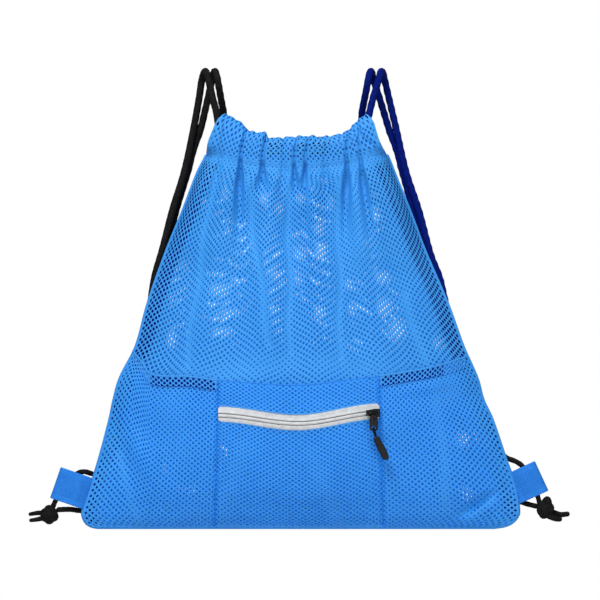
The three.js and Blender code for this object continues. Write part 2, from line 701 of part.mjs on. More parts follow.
const RIGHT_UP = [
  [239.6, 0, -421.6], [238, 0, -415.8], [233.5, 0, -403.5], [228.5, 0, -393.5], [222.3, 0, -384.4],
  [215, 3.8, -379.6], [207, 7, -376.5], [197, 10.5, -368], [187, 13, -350], [177, 13.5, -320],
  [165, 12, -280], [154, 9.5, -240], [146, 7.5, -213], [140.8, 7.5, -195.5], [131.3, 8.5, -174.5],
  [118.8, 9.5, -128.5], [107.3, 10, -90.5], [95, 10.3, -45.5], [88.5, 10.3, -14],
];
const RIGHT_IN = [[75, -11.3, -14], [70.4, -12.8, -27.5], [67.5, -14, -37], [64.5, -14, -46]];
const RIGHT_TRACK = [[59.5, -55], [46, -61.5], [23.6, -65], [-1, -66.5], [-25.7, -65.5], [-44, -62.5]];
const RIGHT_OUT = [[64.5, 14, -46], [63.5, 12, -36], [62.5, 4, -25], [65, -5, -13]];
const RIGHT_DOWN = [
  [76.1, 10.6, -9.5], [82.4, 10.8, -27.5], [87.3, 11, -45.5], [101.3, 11, -90.5], [113, 12, -128.5],
  [125.5, 12.5, -174.5], [134.8, 13, -195.5], [147, 14.5, -240], [158, 17, -280], [170, 18.5, -320],
  [181, 18.5, -355], [195, 15, -388], [208, 11, -408], [218, 8, -419], [227.5, 5.4, -422.6],
  [235.8, 1, -424.6],
];
const RIGHT_ROUTE = [
  ...RIGHT_UP,
  ...overBar(79.2, 84.3).reverse(),
  ...RIGHT_IN,
  ...inCasing(RIGHT_TRACK, -MOUTH_Y),
  ...turnBack(-54, -61, -1),
  ...inCasing(RIGHT_TRACK, MOUTH_Y).reverse(),
  ...RIGHT_OUT,
  ...overBar(68.2, 73.5),
  ...RIGHT_DOWN,
];

// Knots: rounded lumps, with the two cut ends of the cord standing out
const KNOTS = table(['name', 'lumps', 'tails'], [
  [
    'left_knot',
    table(['x', 'z', 'radius'], [[-250.3, -433.9, 9.2]]),
    [[[-252, 2.5, -433], [-261, 3.5, -431.5], [-269.8, 3, -432.7]],
      [[-252, -2.5, -435], [-261, -3.5, -437.5], [-269, -3, -438.8]]],
  ],
  [
    'right_knot',
    table(['x', 'z', 'radius'], [[245, -428.9, 8.4], [247.3, -419.7, 4.6]]),
    [[[247, 2.5, -428], [258, 3.5, -430.5], [269.5, 3, -433.5]],
      [[246, -2.5, -430], [253, -3.5, -435], [259.6, -3, -439.5]]],
  ],
]);
const KNOT_THICK = 0.9;         // a knot is a little thinner than it is wide

function knot({ name, lumps, tails }) {
  const balls = lumps.map((lump) => {
    const ball = new THREE.SphereGeometry(lump.radius, 12, 8).scale(1, KNOT_THICK, 1);
    return solid(ball.translate(lump.x, 0, lump.z));
  });
  const ends = tails.map((points) => solid(tube(points.map(vector), CORD_RADIUS)));
  const body = [...balls, ...ends].reduce((whole, next) => whole.add(next));
  return piece(name, toGeometry(body), BLACK, 0.85);
}

const bag = new THREE.Group();
bag.add(
  piece('front_panel', panel('front', FINE_STEP), BLUE, 0.8),
  piece('back_panel', panel('back', 2 * FINE_STEP), BLUE, 0.8),
  piece('pocket_panel', pocketPanel(), BLUE, 0.8),
  piece('front_casing', openedCasing('front'), BLUE, 0.8),
  piece('back_casing', openedCasing('back'), BLUE, 0.8),
  ...zip(),
  sliderAndPull(),
  ...TABS.map(tab),
  piece('left_cord', tube(LEFT_ROUTE.map(vector), CORD_RADIUS), BLACK, 0.85),
  piece('right_cord', tube(RIGHT_ROUTE.map(vector), CORD_RADIUS), NAVY, 0.85),
  ...KNOTS.map(knot),
);

export default bag;
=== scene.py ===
import math

import bpy
import numpy as np
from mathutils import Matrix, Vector


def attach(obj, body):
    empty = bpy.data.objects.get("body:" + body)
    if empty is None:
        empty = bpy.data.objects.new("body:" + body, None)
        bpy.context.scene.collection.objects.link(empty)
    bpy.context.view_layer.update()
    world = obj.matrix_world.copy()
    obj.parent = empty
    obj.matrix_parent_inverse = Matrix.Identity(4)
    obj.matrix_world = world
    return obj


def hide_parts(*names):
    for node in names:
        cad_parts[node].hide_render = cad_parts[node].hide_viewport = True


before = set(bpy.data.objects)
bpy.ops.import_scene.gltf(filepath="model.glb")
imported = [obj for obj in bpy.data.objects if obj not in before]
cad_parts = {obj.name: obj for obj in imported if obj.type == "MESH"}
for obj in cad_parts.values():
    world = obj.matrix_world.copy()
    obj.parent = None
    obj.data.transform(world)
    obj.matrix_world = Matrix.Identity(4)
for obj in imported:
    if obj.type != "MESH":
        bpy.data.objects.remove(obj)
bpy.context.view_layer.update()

MM = 0.001


def table(columns, rows):
    """Rows of numbers as named columns."""
    return dict(zip(columns.split(), np.array(rows, float).T))


# Sizes as in the model, apart from the cloth's outline, which is a little nearer to the photo's
CLOTH = 1.4
SEAM_HALF_GAP = 0.2
SEAM_Y = SEAM_HALF_GAP + CLOTH / 2
TAB_PARTING = 1.9
PARTING_FULL = 20
PARTING_ENDS = 32
PARTING_SPREAD = 24
SWELL_POWER = 0.8
MOUTH_SQUARENESS = 10
BOTTOM_Z = -446
STITCH_Z = -74.5
STITCH_LEFT = -94
STITCH_RIGHT = 87.5
STITCH_SAG = 12
SAG_START = -200
PANEL_TOP = STITCH_Z + 5
MOUTH_Y = 14
CASING_CUT_LEFT = -44
CASING_CUT_RIGHT = 40
POCKET_FULL_Z = -410
ZIP_HALF_WINDOW = 7.4
ZIP_LEFT = -81.5
ZIP_RIGHT = 79
CORD_RADIUS = 2.75
RAIL_BEND = 10.25
TAB_WIDTH = 32.6
WEBBING = 1.6
TAB_SEWN = 7
TAB_TAPER = 9
TAB_ROOM = 3.2

LEVELS = table("z left right front back", [
    (BOTTOM_Z, -203, 194, 1, 1),
    (-445.5, -206.5, 199.5, 1.7, 1.6),
    (-444.3, -209.8, 205, 3.4, 3.1),
    (-442.5, -212.7, 209.8, 5.8, 5.3),
    (-440, -214.8, 213.4, 9, 8),
    (-436, -216.7, 216.8, 12.3, 10.8),
    (-431, -217.4, 218.8, 15, 13),
    (-408, -210, 216, 25, 21),
    (-375, -200, 204.8, 33, 28),
    (-337, -190, 191.8, 37, 31),
    (-318, -186, 183, 37.2, 31.2),
    (-297, -180, 177.2, 37, 31),
    (-265, -164, 163.2, 35, 30),
    (-222, -152, 147.5, 32, 27),
    (-169, -133.2, 124.7, 26, 22),
    (-131, -117.7, 110.3, 21, 19),
    (-91, -102.3, 94.2, 16, 15),
    (STITCH_Z, STITCH_LEFT, STITCH_RIGHT, MOUTH_Y, MOUTH_Y),
    (PANEL_TOP, -93, 84, MOUTH_Y, MOUTH_Y),
])
POCKET_TOP = table("x z", [
    (-168, -268), (-158.4, -279.5), (-149, -292), (-109, -294.5), (-82, -298), (0, -302.7),
    (48, -297.5), (78, -294), (119, -287.5), (142, -282.5), (168, -274),
])
POCKET_SEAMS = table("z left right", [(BOTTOM_Z, -85, 83.2), (-294, -81, 78.4)])
ZIP_LINE = table("x z", [(-200, -338), (ZIP_LEFT, -332), (0, -340), (ZIP_RIGHT, -329.5), (200, -338)])
TAB_SEAM_Z = (-411, -408)
TABS = {
    "left_tab": dict(x=-244.15, z=-401.1, out=(-0.945, 0.328), free=33),
    "right_tab": dict(x=241.2, z=-394.45, out=(0.908, 0.419), free=25),
}


def smooth(x, low, high):
    t = np.clip((np.asarray(x, float) - low) / (high - low), 0, 1)
    return t * t * (3 - 2 * t)


def lerp(a, b, t):
    return a + (b - a) * t


def grid(a, b):
    """Every pair of two rows of numbers."""
    return np.meshgrid(a, b, indexing="ij")


def add_object(name, data):
    made = bpy.data.objects.new(name, data)
    bpy.context.scene.collection.objects.link(made)
    return made


def curve(rows, key, value):
    """Smooth curve through a table's rows, level outside them."""
    keys, values = rows[key], rows[value]
    count = len(keys)
    before = np.maximum(np.arange(count) - 1, 0)
    after = np.minimum(np.arange(count) + 1, count - 1)
    slope = (values[after] - values[before]) / (keys[after] - keys[before])

    def at(x):
        x = np.asarray(x, float)
        k = np.clip(np.searchsorted(keys, x) - 1, 0, count - 2)
        span = keys[k + 1] - keys[k]
        t = np.clip((x - keys[k]) / span, 0, 1)
        start = t * (1 - t) ** 2 * span * slope[k]
        end = t * t * (t - 1) * span * slope[k + 1]
        return values[k] + (values[k + 1] - values[k]) * t * t * (3 - 2 * t) + start + end

    return at


left_seam = curve(LEVELS, "z", "left")
right_seam = curve(LEVELS, "z", "right")
depth_of = {side: curve(LEVELS, "z", side) for side in ("front", "back")}
pocket_top = curve(POCKET_TOP, "x", "z")
pocket_left = curve(POCKET_SEAMS, "z", "left")
pocket_right = curve(POCKET_SEAMS, "z", "right")
zip_line = curve(ZIP_LINE, "x", "z")


# Camera and light. The lights' places and widths are metres.
CAMERA_DISTANCE = 9000
VIEW_WIDTH = 600
VIEW_MIDDLE_Z = -218.5
SENSOR = 36
CLIP_START = 0.1
CLIP_END = 100
AMBIENT = 0.38
BACKDROP_FADES = 0.9
BACKDROP_FULL = 0.97
LIGHT_AIM = Vector((0, 0, -0.22))
LIGHTS = {
    "key": dict(place=(-0.48, -1.3, 1.45), width=1.0, watts=67),
    "fill": dict(place=(1.6, -2.6, 0.1), width=1.6, watts=32),
}


def make_camera():
    data = bpy.data.cameras.new("camera")
    data.sensor_width = SENSOR
    data.lens = SENSOR * CAMERA_DISTANCE / VIEW_WIDTH
    data.clip_start = CLIP_START
    data.clip_end = CLIP_END
    camera = add_object("camera", data)
    camera.location = (0, -CAMERA_DISTANCE * MM, VIEW_MIDDLE_Z * MM)
    camera.rotation_euler = (math.pi / 2, 0, 0)
    bpy.context.scene.camera = camera


def area_light(name, place, width, watts):
    data = bpy.data.lights.new(name, "AREA")
    data.shape = "DISK"
    data.size = width
    data.energy = watts
    light = add_object(name, data)
    light.location = place
    light.visible_camera = False
    light.rotation_euler = (LIGHT_AIM - light.location).to_track_quat("-Z", "Y").to_euler()


def color_ramp(nodes, *stops):
    """Colour ramp between two stops, each a place and a linear colour."""
    ramp = nodes.new("ShaderNodeValToRGB")
    for element, (place, color) in zip(ramp.color_ramp.elements, stops):
        element.position = place
        element.color = (*color, 1)
    return ramp


def make_light():
    scene = bpy.context.scene
    scene.view_settings.view_transform = "Standard"
    world = bpy.data.worlds.new("studio")
    world.use_nodes = True
    nodes, links = world.node_tree.nodes, world.node_tree.links
    where = nodes.new("ShaderNodeTexCoord")
    parts = nodes.new("ShaderNodeSeparateXYZ")
    ramp = color_ramp(nodes, (BACKDROP_FADES, [AMBIENT] * 3), (BACKDROP_FULL, [1] * 3))
    links.new(where.outputs["Generated"], parts.inputs["Vector"])
    links.new(parts.outputs["Y"], ramp.inputs["Fac"])
    links.new(ramp.outputs["Color"], nodes["Background"].inputs["Color"])
    scene.world = world
    for name, light in LIGHTS.items():
        area_light(name, **light)


make_camera()
make_light()


# Meshes
class Shape:
    """Points and faces of one piece."""

    def __init__(self):
        self.points = []
        self.faces = []
        self.finish = []
        self.count = 0

    def add(self, points, *faces, finish=0):
        points = np.asarray(points, float).reshape(-1, 3)
        self.points.append(points)
        finishes = finish if isinstance(finish, list) else [finish] * len(faces)
        for group, kind in zip(faces, finishes):
            if len(group):
                self.faces.append(np.asarray(group, int) + self.count)
                self.finish.append(np.broadcast_to(kind, len(group)))
        self.count += len(points)

    def paint(self, chosen):
        """Gives the second finish to the faces whose middles are chosen."""
        points = np.concatenate(self.points)
        self.finish = [chosen(*points[group].mean(axis=1).T) for group in self.faces]


def piece(name, shape, materials):
    """Makes a shape an object that rides on the bag."""
    points = np.concatenate(shape.points) * MM
    loops = np.concatenate([group.ravel() for group in shape.faces])
    sizes = np.concatenate([np.full(len(group), group.shape[1]) for group in shape.faces])
    used, loops = np.unique(loops, return_inverse=True)
    mesh = bpy.data.meshes.new(name)
    mesh.vertices.add(len(used))
    mesh.vertices.foreach_set("co", points[used].ravel())
    mesh.loops.add(len(loops))
    mesh.loops.foreach_set("vertex_index", loops.ravel().astype(np.int32))
    mesh.polygons.add(len(sizes))
    mesh.polygons.foreach_set("loop_start", np.concatenate([[0], np.cumsum(sizes)[:-1]]).astype(np.int32))
    mesh.polygons.foreach_set("material_index", np.concatenate(shape.finish).astype(np.int32))
    mesh.update(calc_edges=True)
    mesh.validate()
    mesh.shade_smooth()
    for material in materials:
        mesh.materials.append(material)
    made = add_object(name, mesh)
    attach(made, "bag")
    return made


def unit(vectors):
    return vectors / np.maximum(np.linalg.norm(vectors, axis=-1, keepdims=True), 1e-12)


def travelled(path, power=1):
    """Length of a path up to each of its points, with each step raised to a power."""
    steps = np.linalg.norm(np.diff(path, axis=0), axis=1) ** power
    return np.concatenate([[0], np.cumsum(steps)])


def spread(path, count):
    """A number of even points along a polyline."""
    along = travelled(path)
    at = np.linspace(0, along[-1], count)
    return np.stack([np.interp(at, along, path[:, k]) for k in range(3)], axis=1)


def resample(path, step):
    """Points along a polyline, about a step apart."""
    path = np.asarray(path, float)
    return spread(path, max(2, int(round(travelled(path)[-1] / step)) + 1))


SPLINE_FINE = 16
# Neighbouring knots between which each round mixes its points
SPLINE_PAIRS = (((0, 1), (1, 2), (2, 3)), ((0, 2), (1, 3)), ((1, 2),))


def spline(points, step):
    """Even points along a smooth curve through the points given."""
    points = np.asarray(points, float)
    q = np.concatenate([[2 * points[0] - points[1]], points, [2 * points[-1] - points[-2]]])
    knots = travelled(q, 0.5)
    fine = []
    for k in range(1, len(q) - 2):
        t = np.linspace(knots[k], knots[k + 1], SPLINE_FINE, endpoint=False)[:, None]
        near = knots[k - 1:k + 3]
        mixed = q[k - 1:k + 3]
        for pairs in SPLINE_PAIRS:
            shares = [(t - near[i]) / (near[j] - near[i]) for i, j in pairs]
            mixed = [lerp(mixed[n], mixed[n + 1], share) for n, share in enumerate(shares)]
        fine.append(mixed[0])
    return resample(np.concatenate([*fine, [points[-1]]]), step)


def eased(path, reach):
    """A path with its sharp turns softened over a few points; the ends stay."""
    weights = np.exp(-np.linspace(-2, 2, 2 * reach + 1) ** 2)
    weights /= weights.sum()
    padded = np.concatenate([
        2 * path[0] - path[reach:0:-1], path, 2 * path[-1] - path[-2:-reach - 2:-1],
    ])
    return np.stack([np.convolve(padded[:, k], weights, "valid") for k in range(3)], axis=1)


def directions(path):
    """Two square directions at each point of a path, turning as little as it allows."""
    tangent = unit(np.gradient(path, axis=0))
    start = np.eye(3)[np.argmin(np.abs(tangent[0]))]
    side = np.zeros_like(path)
    for k, along in enumerate(tangent):
        start = start - along * (start @ along)
        start = start / np.linalg.norm(start)
        side[k] = start
    return tangent, side, np.cross(tangent, side)


def rings(count, sides):
    """Quads between neighbouring rings."""
    k, j = grid(np.arange(count - 1), np.arange(sides))
    a, b = k * sides + j, k * sides + (j + 1) % sides
    return np.stack([a, b, b + sides, a + sides], axis=-1).reshape(-1, 4)


# Rings of a domed end: how far out and how wide each is, as shares of the radius
DOME = ((0.45, 0.9), (0.8, 0.6))


def tube(shape, path, radius, sides=12, domes=True):
    """Round tube along a path, with domed or flat ends. The radius may change along it and round it."""
    path = np.asarray(path, float)
    tangent, side, other = directions(path)
    radius = np.asarray(radius, float)
    if radius.ndim < 2:
        radius = radius.reshape(-1, 1)
    radius = np.broadcast_to(radius, (len(path), sides))
    angle = np.linspace(0, 2 * np.pi, sides, endpoint=False)[None, :, None]
    spokes = np.cos(angle) * side[:, None] + np.sin(angle) * other[:, None]
    points = path[:, None] + radius[..., None] * spokes
    tips = [points[0].mean(0), points[-1].mean(0)]
    if domes:
        caps = []
        for end, way in ((0, -1), (-1, 1)):
            out = way * tangent[end] * radius[end].mean()
            tips[end] = path[end] + out
            caps.append([path[end] + out * d + radius[end][:, None] * w * spokes[end] for d, w in DOME])
        points = np.concatenate([caps[0][::-1], points, caps[1]])
    count = len(points)
    j = np.arange(sides)
    after = (j + 1) % sides
    tip = np.full(sides, count * sides)
    last = (count - 1) * sides
    start = np.stack([tip, after, j], axis=1)
    end = np.stack([tip + 1, last + j, last + after], axis=1)
    shape.add(np.concatenate([points.reshape(-1, 3), tips]), rings(count, sides), start, end)


def strip(shape, points, finish=0):
    """Quads over a grid of points."""
    rows, columns = points.shape[:2]
    i, j = grid(np.arange(rows - 1), np.arange(columns - 1))
    at = i * columns + j
    quads = np.stack([at, at + 1, at + columns + 1, at + columns], axis=-1).reshape(-1, 4)
    shape.add(points, quads, finish=finish)


# Materials. Colours are 8-bit display values, a light and a dark tone.
TONE_FROM = 0.3
TONE_TO = 0.7
TONE_DETAIL = 4
KNIT_PATCHES = 18
KNIT_ROUGHNESS = 0.6
KNIT_GLOSS = 0.3
KNIT_SCALE = 1800
KNIT_STRENGTH = 0.35
KNIT_HEIGHT = 0.0003
SHINE_THROUGH = 0.36
WEAVE_DETAIL = 2
WEAVE_STRENGTH = 0.4
WEAVE_HEIGHT = 0.0002


def linear(color):
    """Linear colour from 8-bit display values."""
    shares = [value / 255 for value in color]
    return [share / 12.92 if share <= 0.04045 else ((share + 0.055) / 1.055) ** 2.4 for share in shares]


def principled(name, color, roughness, metallic=0.0, gloss=0.15):
    material = bpy.data.materials.new(name)
    material.use_nodes = True
    nodes, links = material.node_tree.nodes, material.node_tree.links
    shader = nodes["Principled BSDF"]
    shader.inputs["Base Color"].default_value = (*linear(color), 1)
    shader.inputs["Roughness"].default_value = roughness
    shader.inputs["Metallic"].default_value = metallic
    shader.inputs["Specular IOR Level"].default_value = gloss
    return material, nodes, links, shader


def node(nodes, kind, **values):
    """Shader node with values on its inputs."""
    made = nodes.new(f"ShaderNode{kind}")
    for name, value in values.items():
        made.inputs[name].default_value = value
    return made


def tone(nodes, links, shader, light, dark, scale):
    """Uneven colour between two tones."""
    where = node(nodes, "TexCoord")
    noise = node(nodes, "TexNoise", Scale=scale, Detail=TONE_DETAIL)
    ramp = color_ramp(nodes, (TONE_FROM, linear(dark)), (TONE_TO, linear(light)))
    links.new(where.outputs["Object"], noise.inputs["Vector"])
    links.new(noise.outputs["Fac"], ramp.inputs["Fac"])
    links.new(ramp.outputs["Color"], shader.inputs["Base Color"])
    return where, ramp


def relief(nodes, links, shader, where, texture, output, strength, distance):
    """Bump from a texture on object coordinates."""
    bump = node(nodes, "Bump", Strength=strength, Distance=distance)
    links.new(where.outputs["Object"], texture.inputs["Vector"])
    links.new(texture.outputs[output], bump.inputs["Height"])
    links.new(bump.outputs["Normal"], shader.inputs["Normal"])


def mesh_material(name, light, dark):
    """Knitted cloth that some light goes through."""
    material, nodes, links, shader = principled(name, light, KNIT_ROUGHNESS, gloss=KNIT_GLOSS)
    where, ramp = tone(nodes, links, shader, light, dark, KNIT_PATCHES)
    knit = node(nodes, "TexVoronoi", Scale=KNIT_SCALE)
    relief(nodes, links, shader, where, knit, "Distance", KNIT_STRENGTH, KNIT_HEIGHT)
    through = node(nodes, "BsdfTranslucent")
    mix = node(nodes, "MixShader", Fac=SHINE_THROUGH)
    links.new(ramp.outputs["Color"], through.inputs["Color"])
    links.new(shader.outputs["BSDF"], mix.inputs[1])
    links.new(through.outputs["BSDF"], mix.inputs[2])
    links.new(mix.outputs["Shader"], nodes["Material Output"].inputs["Surface"])
    return material


def grained_material(name, light, dark, scale, roughness=0.8, metallic=0.0, gloss=0.15, grain=900):
    """Cord, tape, metal or rubber with a fine grain."""
    material, nodes, links, shader = principled(name, light, roughness, metallic, gloss)
    where, _ = tone(nodes, links, shader, light, dark, scale)
    threads = node(nodes, "TexNoise", Scale=grain, Detail=WEAVE_DETAIL)
    relief(nodes, links, shader, where, threads, "Fac", WEAVE_STRENGTH, WEAVE_HEIGHT)
    return material


mesh_cloth = mesh_material("mesh_knit", (60, 152, 225), (52, 144, 219))
# Back net: a deeper blue than the front, painted shade for light gone through blue cloth; through the front
# net's holes it shows as the bag's shaded inside
painted_shade_back_cloth = mesh_material("mesh_knit_back_painted_shade", (34, 146, 231), (28, 138, 225))
# Front net where it lies behind the pocket: a deeper blue that is painted shade, for light that has gone
# through the blue pocket cloth
painted_shade_cloth = mesh_material("mesh_knit_painted_shade", (28, 152, 244), (22, 144, 238))
pocket_cloth = mesh_material("mesh_knit_doubled", (56, 152, 229), (48, 143, 222))
cord_black = grained_material("cord_black", (20, 20, 21), (11, 11, 12), 300, gloss=0.06)
cord_navy = grained_material("cord_navy", (2, 20, 98), (1, 12, 76), 300, gloss=0.04)
# Dark navy: the binding tape along the side seams, and the sheet behind the pocket hems, where it is painted
# shade
binding_and_painted_shade = grained_material("binding_and_painted_shade", (0, 22, 122), (0, 15, 104), 200, gloss=0.0)
webbing = grained_material("webbing", (36, 114, 196), (30, 106, 188), 120, grain=1500)
# Darker webbing for the faces in the ribs' grooves: painted shade
webbing_groove_shade = grained_material("webbing_groove_shade", (26, 96, 176), (21, 88, 168), 120, grain=1500)
zip_tape = grained_material("zip_tape", (180, 182, 185), (160, 163, 166), 200, grain=1400)
# Grey along the zip's grooves between tape and chain: painted shade
zip_groove_shade = grained_material("zip_line", (138, 135, 131), (112, 110, 107), 300)
thread = grained_material("thread", (36, 112, 200), (28, 100, 188), 200)
gunmetal = grained_material("gunmetal", (30, 30, 32), (12, 12, 14), 400, roughness=0.24, metallic=0.9)
rubber = grained_material("grip", (19, 19, 20), (12, 12, 13), 300, roughness=0.5)


# Cords, from the knot behind the tab up to the bar, through both casings and back
TURN_Y = 9.9
TURN_REACH = 4
TURN_RISE = 1
BAR_POINTS = 5


def over_bar(front_x, back_x):
    """Half turn over the bar."""
    points = []
    for share in np.linspace(0, 1, BAR_POINTS):
        y = -RAIL_BEND * math.cos(math.pi * share)
        points.append((lerp(front_x, back_x, share), y, RAIL_BEND * math.sin(math.pi * share)))
    return points


def turn_back(x, z, away):
    """From the front casing to the back one."""
    return [(x, -TURN_Y, z), (x + TURN_REACH * away, 0, z + TURN_RISE), (x, TURN_Y, z)]


def in_casing(track, y):
    return [(x, y, z) for x, z in track]


def whole_way(up, first_bar, into, track, turn, out, second_bar, down):
    return (
        up + over_bar(*first_bar)[::-1] + into + in_casing(track, -MOUTH_Y) + turn_back(*turn)
        + in_casing(track, MOUTH_Y)[::-1] + out + over_bar(*second_bar) + down
    )


LEFT_UP = [
    (-247, 0, -424.9), (-244.6, 0, -419.5), (-239.5, 0, -409.5), (-231.5, 0, -399), (-224, 0, -392.6),
    (-216, 1.6, -390.1), (-207.5, 6, -392.6), (-199.5, 9.5, -393.5), (-190, 12, -387), (-183, 13.5, -370),
    (-173, 13.5, -335), (-161, 12, -285), (-151.5, 9.5, -235), (-145.5, 7.5, -195.5), (-137.6, 8, -167.5),
    (-127.6, 8.5, -128.5), (-115.9, 8.4, -90.5), (-106.2, 10, -45.5), (-100.6, 10.3, -14),
]
LEFT_IN = [(-87, -11.2, -18), (-83.9, -12.8, -29), (-82, -14, -40.3), (-80.5, -14, -50.7)]
LEFT_TRACK = [(-76, -60.5), (-60.1, -68), (-28.3, -73.5), (-1, -74.8), (25.4, -72.8), (42, -69.5)]
LEFT_OUT = [(-79, 14, -50), (-76.5, 13, -39.5), (-76.6, 8, -30.5), (-78.4, 1, -20.6), (-80.4, -6, -9.1)]
LEFT_DOWN = [
    (-91.3, 10.5, -13), (-94.7, 10.8, -27.5), (-99, 12.3, -45.5), (-112.5, 14.6, -90.5),
    (-124, 14.8, -128.5), (-133.5, 14.5, -167.5), (-141, 14.2, -195.5), (-144.5, 14.5, -235),
    (-154, 17, -285), (-166, 18.5, -335), (-178, 18.5, -375), (-190, 14.5, -403), (-204, 10, -421),
    (-217, 7.2, -429), (-230, 3.5, -427.9), (-241.3, 0.4, -428.2),
]
LEFT_WAY = whole_way(
    LEFT_UP, (-91, -98.6), LEFT_IN, LEFT_TRACK, (52, -67.5, 1), LEFT_OUT, (-82, -88.6), LEFT_DOWN,
)
RIGHT_UP = [
    (239.6, 0, -421.6), (238, 0, -415.8), (233.5, 0, -403.5), (228.5, 0, -393.5), (222.3, 0, -384.4),
    (215, 3.8, -379.6), (207, 7, -376.5), (197, 10.5, -368), (187, 13, -350), (177, 13.5, -320),
    (161.5, 12, -280), (150, 9.5, -240), (143.8, 7.5, -213), (139.6, 7.5, -195.5), (131.3, 8.5, -174.5),
    (118.8, 9, -128.5), (106.2, 8.4, -90.5), (95.9, 10, -45.5), (88.4, 10.3, -14),
]
RIGHT_IN = [(73.8, -11.3, -14), (70.3, -12.8, -27.5), (68, -14, -37), (64.5, -14, -46)]
RIGHT_TRACK = [(59.5, -55), (46, -60.5), (23.6, -63), (-1, -64.2), (-25.7, -63.5), (-44, -61.5)]
RIGHT_OUT = [(63.5, 14, -47), (61.8, 13, -38.5), (62.1, 8, -30.5), (64.2, 1, -19), (66.3, -6, -8.5)]
RIGHT_DOWN = [
    (77.4, 10.6, -9.5), (83, 10.8, -27.5), (88.4, 12.3, -45.5), (102.6, 14.4, -90.5), (113, 14, -128.5),
    (125.5, 12.5, -174.5), (133.6, 13, -195.5), (143, 14.5, -240), (154.5, 17, -280), (170, 18.5, -320),
    (181, 18.5, -355), (195, 15, -388), (208, 11, -408), (218, 8, -419), (227.5, 5.4, -422.6),
    (235.8, 1, -424.6),
]
RIGHT_WAY = whole_way(
    RIGHT_UP, (78.2, 85.2), RIGHT_IN, RIGHT_TRACK, (-54, -61, -1), RIGHT_OUT, (67.8, 74), RIGHT_DOWN,
)
CORD_STEP = 1.3
CORD_EASING = 3
CORD_SIDES = 16
BRAID_STRANDS = 4
BRAID_PITCH = 9
BRAID_RELIEF = 0.22
CORD_LOOK = 3.7
LOOSE_ABOVE = (-380, -300)
SQUEEZE_SPREAD = 9
CHANNEL_HALF = 1
CHANNEL_Z = (-80, -50)
NAVY_ABOVE = -330


def braid(path):
    """Radius of a braided cord at each ring and side: the tabs and the casings squeeze it."""
    along = np.arange(len(path))[:, None] * CORD_STEP * 2 * np.pi / BRAID_PITCH
    angle = np.linspace(0, 2 * np.pi, CORD_SIDES, endpoint=False)[None] * BRAID_STRANDS
    crossing = np.maximum(np.cos(angle + along), np.cos(angle - along))
    _, y, z = path.T
    in_channel = (np.abs(np.abs(y) - MOUTH_Y) < CHANNEL_HALF) & (z > CHANNEL_Z[0]) & (z < CHANNEL_Z[1])
    squeezed = np.convolve(in_channel, np.ones(SQUEEZE_SPREAD) / SQUEEZE_SPREAD, "same")
    radius = lerp(CORD_RADIUS, CORD_LOOK, smooth(z, *LOOSE_ABOVE) * (1 - squeezed))
    return radius[:, None] - BRAID_RELIEF + BRAID_RELIEF * crossing


def make_cord(side, way, slot):
    path = eased(spline(way, CORD_STEP), CORD_EASING)
    shape = Shape()
    tube(shape, path, braid(path), CORD_SIDES)
    if slot == "cord_navy":
        shape.paint(lambda x, y, z: z > NAVY_ABOVE)
    made = piece(f"{side}_cord_braid", shape, [cord_black, cord_navy])
    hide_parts(f"{side}_cord")
    return made


# Knots: overhand loops about a core, with two cut tails
KNOTS = {
    "left": dict(
        lumps=[(-250.6, -433, 9.8), (-250.9, -433.6, 9.4)], turn=1.1, tip=1.9,
        tails=[[(-252, 2.5, -433), (-261, 3.5, -431.5), (-269.8, 3, -432.7)],
               [(-252, -2.5, -435), (-261, -3.5, -437.5), (-269, -3, -438.8)]],
    ),
    "right": dict(
        lumps=[(244.8, -427.8, 9.8), (246.8, -420.6, 6)], turn=1.9, tip=2.6,
        tails=[[(247, 2.5, -428.5), (253, 3.2, -430.8), (260.7, 3.5, -433.2), (267.4, 3, -432.6)],
               [(246, -2.5, -433), (250, -3.2, -435.2), (255.6, -3.5, -437.2), (259.6, -3, -437.6)]],
    ),
}
KNOT_CORD = 2.7
KNOT_CORE = 0.86
TAIL_ROOT = 3
TAIL_STEP = 1.2
TREFOIL_REACH = 3
TREFOIL_DEPTH = 1.9
TREFOIL_POINTS = 97
CORE_POINTS = 15
CORE_SIDES = 20


def trefoil(x, z, size, turn):
    """Closed overhand loop about a middle point, facing the front."""
    t = np.linspace(0, 2 * np.pi, TREFOIL_POINTS)
    a = np.sin(t) + 2 * np.sin(2 * t)
    b = np.cos(t) - 2 * np.cos(2 * t)
    y = -TREFOIL_DEPTH * np.sin(3 * t)
    scale = (size - KNOT_CORD) / TREFOIL_REACH
    cos, sin = math.cos(turn), math.sin(turn)
    return np.stack([x + scale * (a * cos - b * sin), scale * y, z + scale * (a * sin + b * cos)], axis=1)


def make_knot(side, lumps, turn, tip, tails):
    shape = Shape()
    lean = np.linspace(-np.pi / 2, np.pi / 2, CORE_POINTS)[1:-1]
    for k, (x, z, size) in enumerate(lumps):
        tube(shape, trefoil(x, z, size, turn + k * np.pi / 3), KNOT_CORD)
        core = size * KNOT_CORE
        middle = np.stack([x + core * np.sin(lean), 0 * lean, z + 0 * lean], axis=1)
        tube(shape, middle, core * np.cos(lean), CORE_SIDES, domes=False)
    for points in tails:
        path = spline(points, TAIL_STEP)
        tube(shape, path, np.linspace(TAIL_ROOT, tip, len(path)))
    made = piece(f"{side}_knot_tied", shape, [cord_black])
    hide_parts(f"{side}_knot")
    return made


left_knot, right_knot = [make_knot(side, **knot) for side, knot in KNOTS.items()]
left_cord = make_cord("left", LEFT_WAY, "cord_black")
right_cord = make_cord("right", RIGHT_WAY, "cord_navy")


